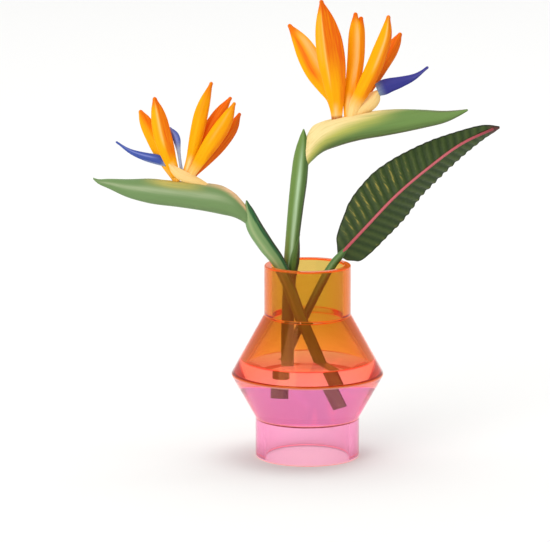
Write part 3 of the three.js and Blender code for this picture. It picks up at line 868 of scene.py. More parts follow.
@dataclass
class Vase:
    """The see-through vase in two halves, and the clear fill that the stems stand in."""

    foot_radius: float = 12.0
    foot_height: float = 9.4
    ridge_radius: float = 17.55
    ridge_height: float = 19.45
    neck_radius: float = 10.0
    shoulder_height: float = 33.4
    rim_height: float = 45.0
    neck_wall: float = 1.7
    bore_end: float = 32.3  # the height where the neck's straight bore opens into the inner cone
    ridge_wall: float = 1.7
    floor_top: float = 9.2
    floor_thickness: float = 0.5
    floor_radius: float = 9.45
    recess_radius: float = 9.8  # of the hollow under the floor
    fill_top: float = 22.4
    fill_overlap: float = 0.01  # how far the fill reaches into the walls, so that light passes on unbent
    edge: float = 0.35  # the fillet of the outer edges
    crease: float = 0.25  # the fillet where a cone meets a straight wall
    cut: float = 0.03  # the fillet round a joint face
    recess_fillet: float = 0.06
    floor_fillet: float = 0.3  # also the fillet of the fill's rim
    nose: float = 0.2  # half the height of the ridge's blunt nose
    painted_glow_reach: float = 0.42  # how far from a corner its painted edge glow reaches
    painted_rim_glow_reach: float = 0.33  # the same for the painted glow round the rim of the fill's top
    stain_heights: tuple[float, float] = (20.5, 33.0)  # between these the olive stain comes in
    weld_gap: float = 0.002  # half the width of the weld between the two halves
    weld_reach: float = 0.003  # how near the joint its own faces lie
    standing_height: float = 0.05  # below this, light passes straight down to the board under the foot
    # The glows of these finishes, and the stronger ones along their edges, are painted light.
    upper_finish: ClearPlastic = ClearPlastic(
        "clear_orange_styrene", "#FF9444", 3.4, stain="#D2F5BC", glow=0.05, glow_colour="#FF5A18",
        sheen="#FFB070",
    )
    lower_finish: ClearPlastic = ClearPlastic(
        "clear_pink_styrene", "#F9AED4", 4.4, glow=0.02, glow_colour="#FF6A50", painted_glow_at_edges=0.45,
        painted_glow_at_edges_colour="#FFC0A8", sheen="#FFC0C8",
    )
    fill_finish: ClearPlastic = ClearPlastic(
        "clear_magenta_resin", "#FFD2F6", 24.0, ior=1.33, glow=0.06, glow_colour="#FF7AB0", painted_glow_at_edges=0.5,
        painted_glow_at_edges_colour="#FF4A28",
    )

    @property
    def bore(self) -> float:
        """The radius inside the neck."""
        return self.neck_radius - self.neck_wall

    @property
    def ridge_bore(self) -> float:
        """The radius inside the ridge."""
        return self.ridge_radius - self.ridge_wall

    def upper(self) -> Surface:
        """The neck and the cone that opens down to the ridge."""
        shell = turned(rounded([
            (self.ridge_bore, self.ridge_height + self.weld_gap, self.cut),
            (self.ridge_radius, self.ridge_height + self.weld_gap, self.cut),
            (self.ridge_radius, self.ridge_height + self.nose, self.edge),
            (self.neck_radius, self.shoulder_height, self.crease),
            (self.neck_radius, self.rim_height, self.edge),
            (self.bore, self.rim_height, self.edge),
            (self.bore, self.bore_end, self.crease),
        ]))
        return self.zoned(shell, (
            (self.neck_radius, self.shoulder_height), (self.ridge_radius, self.ridge_height + self.nose),
            (self.neck_radius, self.rim_height), (self.bore, self.rim_height),
            ((self.neck_radius + self.bore) / 2, self.rim_height), (self.bore, self.bore_end),
        ))

    def lower(self) -> Surface:
        """The cup that closes down from the ridge, on a straight foot that is hollow below."""
        shell = turned(rounded([
            (0.0, self.floor_top - self.floor_thickness, 0.0),
            (self.recess_radius, self.floor_top - self.floor_thickness, self.recess_fillet),
            (self.recess_radius, 0.0, self.recess_fillet),
            (self.foot_radius, 0.0, self.edge),
            (self.foot_radius, self.foot_height, self.crease),
            (self.ridge_radius, self.ridge_height - self.nose, self.edge),
            (self.ridge_radius, self.ridge_height - self.weld_gap, self.cut),
            (self.ridge_bore, self.ridge_height - self.weld_gap, self.cut),
            (self.floor_radius, self.floor_top, self.floor_fillet),
            (0.0, self.floor_top, 0.0),
        ]))
        return self.zoned(shell, (
            (self.foot_radius, 0.0), (self.foot_radius, self.foot_height),
            (self.ridge_radius, self.ridge_height - self.nose),
        ))

    def zoned(self, shell: Surface, edges: Rows) -> Surface:
        """Gives a half the finishes of its wall, its joint face, its standing face and its edges, where it
        has a painted glow.

        Args:
            shell: The half.
            edges: The radius and the height of each edge.

        Returns:
            The half, where finish 0 is the wall's, 1 the joint's and the standing face's, and 2 the
            painted glow of the edges, and where each point holds how much stain it has.
        """
        radii, heights = self.placed(shell)
        welded = (np.abs(heights - self.ridge_height) < self.weld_reach) & (radii > self.ridge_bore)
        joint = welded | (heights < self.standing_height)
        # painted light: the faces near these edges take the glowing edge finish
        edge = np.any([np.hypot(radii - r, heights - z) < self.painted_glow_reach for r, z in edges], axis=0)
        shell.slots = np.where(joint, 1, np.where(edge, 2, 0))
        shell.values["stain"] = smooth_step(*self.stain_heights, shell.points[:, 2])
        return shell

    def placed(self, shell: Surface) -> tuple[np.ndarray, np.ndarray]:
        """The radius and the height of each face's middle."""
        middles = np.array([shell.points[list(face)].mean(axis=0) for face in shell.faces])
        return np.hypot(middles[:, 0], middles[:, 1]), middles[:, 2]

    def fill(self) -> Surface:
        """The fill, which follows the walls and ends in a level top whose rim, its finish 1, has a painted
        glow.
        """
        slope = (self.ridge_bore - self.bore) / (self.bore_end - self.ridge_height)
        top = self.ridge_bore - (self.fill_top - self.ridge_height) * slope
        shell = turned(rounded([
            (0.0, self.floor_top - self.fill_overlap, 0.0),
            (self.floor_radius + self.fill_overlap, self.floor_top - self.fill_overlap, self.floor_fillet),
            (self.ridge_bore + self.fill_overlap, self.ridge_height, self.cut),
            (top + self.fill_overlap, self.fill_top, self.floor_fillet),
            (0.0, self.fill_top, 0.0),
        ]))
        radii, heights = self.placed(shell)
        shell.slots = np.where(np.hypot(radii - top, heights - self.fill_top) < self.painted_rim_glow_reach, 1, 0)
        return shell

    def build(self) -> None:
        """Makes the two halves and the fill."""
        for shell, finish, slot, node in (
            (self.upper(), self.upper_finish, "vase_orange", "vase_upper"),
            (self.lower(), self.lower_finish, "vase_pink", "vase_lower"),
        ):
            finishes = (finish.material(), finish.joint().material(), finish.painted_glowing_edge().material())
            keep(shell.piece(f"{node}_half", *finishes), slot, node)
        finishes = (self.fill_finish.material(), self.fill_finish.painted_glowing_edge().material())
        keep(self.fill().piece("vase_fill", *finishes), "fill_magenta", "fill")


# ------------------------------------------------------------------ the flowers' forms


@dataclass(frozen=True)
class Blade:
    """A keeled sepal, petal or bract: a narrow claw, a belly and a tapering tip along a spine."""

    spine: Rows
    width: float  # where it is widest
    root: float  # the width of its claw
    widest: float  # the share of the spine where it is widest
    tip: float  # how blunt it ends: 1 is a straight taper, higher is rounder
    thick: float  # where it is widest
    paint: Paint = ()
    crease: float = 1.35  # the section's exponent: 1 is a sharp lozenge, 2 an oval
    skew: float = 0.0  # how far to the right of the middle the ridge lies, as a share of the half width
    ease: float = 0.8  # how soon it swells above its claw: lower is sooner
    nose: float = 0.5  # the radius that its tip is rounded to
    claw_depth: float = 0.62  # half the claw's thickness, thin enough to stand between a spathe's lips
    claw_end: tuple[float, float] = (0.1, 0.4)  # the shares between which the claw thickens into the belly
    rings: int = 76
    sides: int = 44
    tip_crowding: float = 1.6  # how much closer the rings stand towards the tip
    closing: float = 0.98  # how far the rounded tip closes: under 1, so that its last ring stays open
    thickness_ease: float = 0.4  # how slowly it thins with its width: 0 keeps its thickness

    def half_width(self, shares: np.ndarray, length: float) -> np.ndarray:
        """Half of its width at shares of its length, never narrower than its rounded tip."""
        swelling = smooth_step(0.0, 1.0, shares / self.widest) ** self.ease
        claw = (self.root + (self.width - self.root) * swelling) / 2
        past = np.clip((shares - self.widest) / (1 - self.widest), 0.0, 1.0)
        half = np.where(shares < self.widest, claw, self.width / 2 * (1 - past**self.tip))
        to_tip = np.clip(1 - (1 - shares) * length / self.nose, 0.0, 1.0)
        return (half**4 + self.nose**4) ** 0.25 * np.sqrt(1 - self.closing * to_tip**2)

    def half_depth(self, shares: np.ndarray, half: np.ndarray) -> np.ndarray:
        """Half of its thickness: thin at the claw and at the tip."""
        belly = self.thick / 2 * (2 * half / self.width) ** self.thickness_ease
        thickening = smooth_step(*self.claw_end, shares)
        return np.minimum(self.claw_depth, belly) * (1 - thickening) + belly * thickening

    def surface(self) -> Surface:
        """Its closed surface, with its paint."""
        curve = Curve(self.spine)
        shares = 1 - (1 - np.linspace(0, 1, self.rings)) ** self.tip_crowding
        half = self.half_width(shares, curve.length)
        depth = self.half_depth(shares, half)
        side, front = cross_ways(curve.way(shares))
        turn = np.linspace(0, 2 * math.pi, self.sides, endpoint=False)
        across = np.sign(np.cos(turn)) * np.abs(np.cos(turn)) ** (2 / self.crease)
        forward = np.sign(np.sin(turn)) * np.abs(np.sin(turn)) ** (2 / self.crease)
        leant = across - self.skew * (1 - across**2)
        points = (
            curve.at(shares)[:, None]
            + side[:, None] * (half[:, None] * leant)[..., None]
            + front[:, None] * (depth[:, None] * forward)[..., None]
        )
        along = np.repeat(shares[:, None], self.sides, axis=1)
        right = np.repeat(-leant[None], self.rings, axis=0)
        values = painted(self.paint, right, along)
        flow = np.stack([right * half[:, None], along * curve.length, 0 * along], axis=-1)
        return lofted(points, {**values, "flow": flow})


@dataclass(frozen=True)
class Stem:
    """A round stem along rows of x, y, z and radius, from its cut end up."""

    rows: Rows
    paint: Paint = ()
    steps: int = 180
    sides: int = 40

    def piece(self, name: str, material: bpy.types.Material, sweep: bpy.types.NodeTree) -> bpy.types.Object:
        """The swept and painted stem.

        Args:
            name: Its name.
            material: Its finish.
            sweep: The geometry tree that sweeps it.

        Returns:
            Its object.
        """
        curve = Curve(self.rows)
        shares = np.linspace(0, 1, self.steps)
        path = curve.at(shares)
        mesh = bpy.data.meshes.new(name)
        mesh.from_pydata(in_frame(path[:, :3]).tolist(), [(i, i + 1) for i in range(self.steps - 1)], [])
        write_value(mesh, "girth", path[:, 3] * MM)
        write_value(mesh, "share", shares)
        thing = scene_object(name, mesh)
        apply_tree(thing, sweep, {"Sides": self.sides, "Finish": material})
        self._dress(thing.data, curve)
        return thing

    def _dress(self, mesh: bpy.types.Mesh, curve: Curve) -> None:
        """Gives every point its paint and its place along the stem."""
        count = len(mesh.vertices)
        share = np.empty(count, np.float32)
        mesh.attributes["share"].data.foreach_get("value", share)
        places = np.empty(3 * count, np.float32)
        mesh.vertices.foreach_get("co", places)
        near = curve.at(share)
        side, front = cross_ways(curve.way(share))
        arm = places.reshape(-1, 3) - in_frame(near[:, :3])
        right = -np.sum(arm * side, axis=1) / (near[:, 3] * MM)
        ahead = np.sum(arm * front, axis=1) / (near[:, 3] * MM)
        turn = np.arctan2(right, ahead)
        for key, value in painted(self.paint, right, share).items():
            write_value(mesh, key, value)
        write_value(
            mesh, "flow", np.stack([turn * near[:, 3], share * curve.length, 0 * share], axis=-1)
        )


@dataclass(frozen=True)
class Spathe:
    """A beak-like bract: a keel below, full flanks, and a slit between two lips above."""

    rows: Rows  # x and z of the upper lip, x and z of the keel, y of the middle plane, and the half depth
    way: int  # 1 where it points to the right, -1 to the left
    paint: Paint = ()
    rings: int = 120
    flank: int = 26
    # The flank, as shares of the height above the keel and of the half depth, up to the lip and the slit
    section: Rows = ((0, 0), (0.06, 0.42), (0.28, 0.88), (0.56, 1), (0.82, 0.76), (1, 0.3), (0.9, 0))

    def surface(self) -> Surface:
        """Its closed surface, with its paint."""
        rows = np.array(self.rows)
        shares = np.linspace(0, 1, self.rings)
        lips = Curve(rows[:, [0, 4, 1]])
        keels = Curve(rows[:, [2, 4, 3]])
        lip, keel = lips.at(shares, even=False), keels.at(shares, even=False)
        depth = np.interp(shares, np.linspace(0, 1, len(rows)), rows[:, 5])
        half = Curve(self.section).at(np.linspace(0, 1, self.flank))
        back = half * (1, self.way)
        outline = np.vstack([back, back[-2:0:-1] * (1, -1)])
        height, out = outline[:, 0], outline[:, 1]
        points = keel[:, None] + (lip - keel)[:, None] * height[None, :, None]
        points[:, :, 1] += out[None] * depth[:, None]
        along = np.repeat(shares[:, None], len(outline), axis=1)
        across = np.repeat(2 * height[None] - 1, self.rings, axis=0)
        tall = np.linalg.norm(lip - keel, axis=1)[:, None]
        flow = np.stack([height[None] * tall, along * lips.length, 0 * along], axis=-1)
        return lofted(points, {**painted(self.paint, across, along), "flow": flow})


def merged(surfaces: Sequence[Surface]) -> Surface:
    """Several surfaces that hold the same values, as one."""
    starts = np.cumsum([0] + [len(part.points) for part in surfaces])
    faces = [
        tuple(corner + int(start) for corner in face)
        for part, start in zip(surfaces, starts) for face in part.faces
    ]
    values = {key: np.concatenate([part.values[key] for part in surfaces]) for key in surfaces[0].values}
    return Surface(np.concatenate([part.points for part in surfaces]), faces, values)


def everywhere(tone: Tone, strength: float = 1.0) -> Wash:
    """A tone all over a piece."""
    return Wash(tone, 0.0, 0.0, 1.0, 0.1, strength)


def beyond(tone: Tone, share: float, softness: float = 0.08, strength: float = 1.0) -> Wash:
    """A tone from a share of a piece's length up to its tip."""
    return Wash(tone, 0.0, 1.0, -share, softness, strength)


def below(tone: Tone, share: float, softness: float = 0.08, strength: float = 1.0) -> Wash:
    """A tone from a piece's root up to a share of its length."""
    return Wash(tone, 0.0, -1.0, share, softness, strength)


@dataclass(frozen=True)
class Brush:
    """How far the brush and the mould raised a painted piece's lengthwise ridges."""

    spacing: float = 0.75
    length: float = 9.0
    depth: float = 0.07
    seed: float = 1.0

    def work(self, thing: bpy.types.Object, brushing: bpy.types.NodeTree, paint: bpy.types.Material) -> None:
        """Raises the ridges of a piece.

        Args:
            thing: The piece.
            brushing: The tree that raises them.
            paint: The piece's finish.
        """
        apply_tree(thing, brushing, {
            "Spacing": self.spacing, "Length": self.length, "Depth": self.depth, "Seed": self.seed,
            "Finish": paint,
        })


@dataclass
class Bloom:
    """One flower head on its stem."""

    name: str
    stem: Stem
    sheaths: tuple[Blade, ...]
    spathe: Spathe
    florets: tuple[tuple[Blade, ...], ...]
    arrow: Blade
    small_petals: tuple[Blade, ...]
    stem_finish: BrushedPaint
    spathe_finish: BrushedPaint
    sepal_finish: BrushedPaint
    petal_finish: BrushedPaint
    brush: Brush = Brush()

    def build(self, sweep: bpy.types.NodeTree, brushing: bpy.types.NodeTree) -> None:
        """Makes the stem, the spathe, the florets and the blue petals.

        Args:
            sweep: The tree that sweeps a stem.
            brushing: The tree that raises the lengthwise ridges.
        """
        stem_paint, sepal_paint = self.stem_finish.material(), self.sepal_finish.material()
        petal_paint = self.petal_finish.material()
        stalk = self.stem.piece(f"{self.name}_stem_stalk", stem_paint, sweep)
        self._finish(stalk, brushing, stem_paint, "stem_green", f"{self.name}_stem")
        if self.sheaths:
            wrap = merged([blade.surface() for blade in self.sheaths])
            sheath = wrap.piece(f"{self.name}_stem_sheath", stem_paint)
            self._finish(sheath, brushing, stem_paint, "stem_green")
        spathe_paint = self.spathe_finish.material()
        beak = self.spathe.surface().piece(f"{self.name}_spathe_bract", spathe_paint)
        self._finish(beak, brushing, spathe_paint, "spathe_green", f"{self.name}_spathe")
        for count, blades in enumerate(self.florets, start=1):
            sepals = merged([blade.surface() for blade in blades])
            thing = sepals.piece(f"{self.name}_floret_{count}_sepals", sepal_paint)
            self._finish(thing, brushing, sepal_paint, "sepal_orange", f"{self.name}_floret_{count}")
        arrow = self.arrow.surface().piece(f"{self.name}_arrow", petal_paint)
        self._finish(arrow, brushing, petal_paint, "petal_blue", f"{self.name}_arrow_petal")
        for blade in self.small_petals:
            small = blade.surface().piece(f"{self.name}_small_blade", petal_paint)
            self._finish(small, brushing, petal_paint, "petal_blue", f"{self.name}_small_petal")

    def _finish(
        self, thing: bpy.types.Object, brushing: bpy.types.NodeTree, paint: bpy.types.Material,
        slot: str, *nodes: str,
    ) -> None:
        """Raises a piece's ridges and keeps it."""
        self.brush.work(thing, brushing, paint)
        keep(thing, slot, *nodes)


# ------------------------------------------------------------------ the tall bloom, on the right

SEPAL_PAINT = BrushedPaint(
    "brushed_orange_vinyl", body="#FFB300", deep="#EA6208", cream="#FAD48C", pale="#FCC474", line="#A8440C",
    gloss=0.1,
)
TALL_BLOOM = Bloom(
    name="right",
    stem=Stem(
        rows=(
            (-4.65, 0.9, 16.6, 1.5), (-4.65, 1.1, 22.4, 1.5),
            (-4.55, 1.45, 33.5, 1.5), (-3.99, 1.6, 44.71, 1.55),
            (-3.42, 1.6, 51.32, 1.62), (-2.79, 1.6, 57.53, 1.76), (-1.94, 1.5, 65.06, 1.9),
            (-1.44, 1.4, 70.28, 1.65), (-1.04, 1.2, 74.02, 0.95), (-0.94, 1.0, 76.35, 0.15),
        ),
        paint=(
            # partly painted highlight: the pale stroke down the middle, over a paler stripe of paint
            Stroke(Tone.PALE_AND_HIGHLIGHT, 0.0, 0.24, 0.3, 1.0, 1.0),
            Wash(Tone.DEEP, 1.0, 0.0, -0.3, 0.3, 0.85),
            Wash(Tone.LINE, 1.0, 0.0, -0.85, 0.08, 0.8, start=0.4, end=0.92),
            Wash(Tone.CREAM, -1.0, 0.0, -0.5, 0.2, 0.6, start=0.3, end=0.65),
        ),
    ),
    sheaths=(
        Blade(
            spine=((-4.0, 1.2, 41.0), (-3.6, 1.0, 45.0), (-2.9, 1.0, 48.5), (-1.9, 1.2, 52.0)),
            width=3.3, root=2.4, widest=0.4, tip=1.6, thick=2.6, nose=0.25, claw_depth=1.3,
            paint=(
                Wash(Tone.DEEP, 0.0, 0.0, 1.0, 0.2, 0.7),
                # painted highlight: the pale stroke on its left
                Stroke(Tone.PALE_AND_HIGHLIGHT, -0.55, 0.14, -0.3, 1.0, 0.9),
                Wash(Tone.LINE, 1.0, 0.0, -0.55, 0.2, 0.8),
            ),
        ),
    ),
    spathe=Spathe(
        rows=(
            (-1.1, 72.6, -0.7, 66.9, 1.6, 1.3), (1.0, 76.7, 1.0, 68.8, 1.6, 2.0),
            (3.2, 77.9, 3.5, 70.9, 1.6, 2.3), (5.8, 78.6, 7.0, 72.3, 1.5, 2.4),
            (10.5, 79.6, 11.8, 73.7, 1.2, 2.4), (16.0, 80.6, 17.2, 74.7, 0.8, 2.3),
            (21.2, 81.0, 22.0, 75.7, 0.2, 2.0), (26.0, 81.0, 26.8, 76.9, -0.6, 1.6),
            (30.9, 80.9, 31.4, 78.2, -1.5, 1.1), (34.5, 81.2, 34.7, 79.9, -2.2, 0.6),
            (36.4, 81.5, 36.5, 81.1, -2.6, 0.2),
        ),
        way=1,
        paint=(
            # the pale wash is the spathe's own yellow-green
            Wash(Tone.PALE_AND_HIGHLIGHT, 1.0, -2.5, 1.05, 0.4, end=0.62, fade=0.22),
            Wash(Tone.CREAM, 1.0, -2.8, 0.55, 0.4, 0.95),
            # partly painted shade: darker green on the keel side, below, over its own darker green
            Wash(Tone.DEEP, -1.0, 0.0, -0.45, 0.35, 0.9, start=0.05, end=1.4),
            Wash(Tone.LINE, -1.0, 0.0, -0.88, 0.1, 0.7, start=0.1, end=1.4),
            Wash(Tone.LINE, 1.0, 0.0, -0.85, 0.12, 0.6, start=0.62, end=1.4),
        ),
    ),
    florets=(
        (
            Blade(
                spine=(
                    (6.6, 1.6, 77.3), (6.4, 1.9, 80.5), (5.9, 2.3, 83.6), (4.2, 3.0, 86.4),
                    (1.75, 3.8, 89.9), (-1.65, 5.2, 96.0), (-4.4, 5.9, 99.9),
                ),
                width=5.3, root=1.7, widest=0.52, tip=2.5, thick=2.0,
                paint=(
                    Stroke(Tone.DEEP, -0.3, 0.3, 0.36, 1.0, 0.85),
                    # painted highlights: the pale strokes down the right side
                    Stroke(Tone.PALE_AND_HIGHLIGHT, 0.5, 0.3, 0.35, 0.95, 1.0),
                    beyond(Tone.DEEP, 0.9, 0.06, 0.8),
                    Stroke(Tone.PALE_AND_HIGHLIGHT, 0.7, 0.35, -0.1, 0.42, 0.8),
                    Stroke(Tone.CREAM, 0.6, 0.5, -0.1, 0.4, 0.45),
                ),
            ),
            Blade(
                spine=(
                    (6.7, 1.4, 77.2), (6.5, 0.9, 82.5), (5.9, 0.1, 88.5),
                    (5.1, -0.7, 94.5), (4.3, -1.3, 99.5), (2.95, -1.8, 106.4),
                ),
                width=6.35, root=2.2, widest=0.56, tip=2.35, thick=2.6, skew=-0.33, crease=1.25,
                paint=(
                    # partly painted shade: the deep orange of the right face, over its orange paint
                    Wash(Tone.DEEP, 1.0, 0.0, 0.33, 0.08, 0.8, start=0.3, end=1.4, fade=0.35),
                    Wash(Tone.DEEP, 1.0, 0.0, -0.5, 0.2, 0.7, start=0.05, end=1.4),
                    # painted highlights: the pale strokes along the crease and the left face
                    Stroke(Tone.PALE_AND_HIGHLIGHT, -0.38, 0.07, 0.25, 1.0, 0.7),
                    Stroke(Tone.PALE_AND_HIGHLIGHT, -0.68, 0.12, 0.45, 1.0, 0.2),
                    beyond(Tone.DEEP, 0.92, 0.05, 0.9),
                    Stroke(Tone.CREAM, -0.1, 0.3, -0.1, 0.2, 0.8),
                    below(Tone.CREAM, 0.09, 0.04, 0.5),
                    # painted shadow: a thin dark line where the claw goes behind the spathe's lip
                    Wash(Tone.LINE, 0.0, -1.0, 0.074, 0.008, 0.7),
                ),
            ),
        ),
        (
            Blade(
                spine=(
                    (9.2, 1.5, 77.5), (9.2, 1.9, 81.5), (9.9, 2.4, 86.0),
                    (10.6, 2.8, 90.5), (10.9, 3.2, 95.5), (10.9, 3.7, 102.9),
                ),
                width=3.5, root=1.6, widest=0.62, tip=3.2, thick=1.7, crease=1.6,
                paint=(
                    # painted highlight: the pale stroke
                    Stroke(Tone.PALE_AND_HIGHLIGHT, 0.25, 0.32, 0.25, 1.0, 0.95),
                    Stroke(Tone.DEEP, -0.35, 0.16, 0.4, 1.1, 0.15),
                    beyond(Tone.DEEP, 0.93, 0.05, 0.9),
                    Stroke(Tone.CREAM, 0.1, 0.5, -0.1, 0.3, 0.9),
                ),
            ),
            Blade(
                spine=(
                    (10.0, 1.6, 77.5), (10.3, 2.1, 82.0), (11.2, 2.8, 87.5),
                    (11.8, 3.3, 92.5), (12.0, 3.7, 97.5), (12.2, 4.2, 101.9),
                ),
                width=2.3, root=1.5, widest=0.62, tip=4.5, thick=1.9,
                paint=(
                    Wash(Tone.DEEP, 1.0, 0.0, 0.1, 0.25, 0.5, start=0.15, end=1.4),
                    beyond(Tone.DEEP, 0.93, 0.05, 0.9),
                    below(Tone.CREAM, 0.25, 0.15, 0.6),
                ),
            ),
            Blade(
                spine=(
                    (9.9, 1.2, 77.7), (10.7, 0.5, 81.8), (12.4, -0.4, 85.2), (14.5, -1.1, 89.6),
                    (16.3, -1.8, 94.2), (17.6, -2.3, 98.2), (18.3, -2.9, 103.0),
                ),
                width=3.75, root=2.2, widest=0.5, tip=3.5, thick=2.2,
                paint=(
                    # painted highlight: the pale stroke
                    Stroke(Tone.PALE_AND_HIGHLIGHT, 0.05, 0.14, 0.45, 1.05, 0.95),
                    # partly painted shade: the deep orange of the right side, over its orange paint
                    Wash(Tone.DEEP, 1.0, 0.0, -0.35, 0.25, 0.75, start=0.15, end=1.4),
                    beyond(Tone.DEEP, 0.96, 0.05, 0.7),
                    below(Tone.CREAM, 0.2, 0.08, 0.85),
                ),
            ),
            Blade(
                spine=(
                    (10.9, 1.6, 77.6), (12.4, 2.8, 83.2), (15.8, 4.6, 88.8),
                    (19.1, 5.6, 93.8), (21.4, 6.3, 97.9),
                ),
                width=3.4, root=1.9, widest=0.6, tip=4.0, thick=1.9,
                paint=(everywhere(Tone.DEEP, 0.9),),
            ),
            Blade(
                spine=(
                    (9.1, 1.6, 77.4), (11.0, 1.5, 79.6), (12.9, 1.4, 81.4),
                    (14.7, 1.3, 83.0), (16.1, 1.3, 85.2),
                ),
                width=3.7, root=3.2, widest=0.45, tip=5.0, thick=2.0,
                paint=(everywhere(Tone.CREAM), Wash(Tone.DEEP, 1.0, 0.0, -0.78, 0.15, 0.6)),
            ),
        ),
    ),
    arrow=Blade(
        spine=((15.9, 1.3, 85.3), (18.3, 1.3, 86.3), (21.2, 1.1, 87.2), (24.6, 0.7, 88.6), (27.5, 0.3, 90.8)),
        width=3.6, root=3.0, widest=0.14, tip=1.15, thick=1.5, nose=0.32,
        # painted highlight: the pale stroke along it
        paint=(below(Tone.CREAM, 0.03, 0.14, 0.9), Stroke(Tone.PALE_AND_HIGHLIGHT, 0.1, 0.3, 0.5, 1.3, 0.5)),
    ),
    small_petals=(),
    stem_finish=BrushedPaint(
        "brushed_green_vinyl", body="#6F8F46", deep="#4C6C30", cream="#9A8A3C", pale="#B2CFA4",
        line="#3E2E30",
    ),
    spathe_finish=BrushedPaint(
        "brushed_cream_green_vinyl", body="#6F8F4B", deep="#566F36", cream="#F9DF9E", pale="#B8B858",
        line="#5E4A40",
    ),
    sepal_finish=SEPAL_PAINT,
    petal_finish=BrushedPaint(
        "brushed_violet_vinyl", body="#34358C", deep="#2A2A78", cream="#A4B8BC", pale="#5A5AA0",
        line="#22225E",
    ),
)


# ------------------------------------------------------------------ the low bloom, on the left

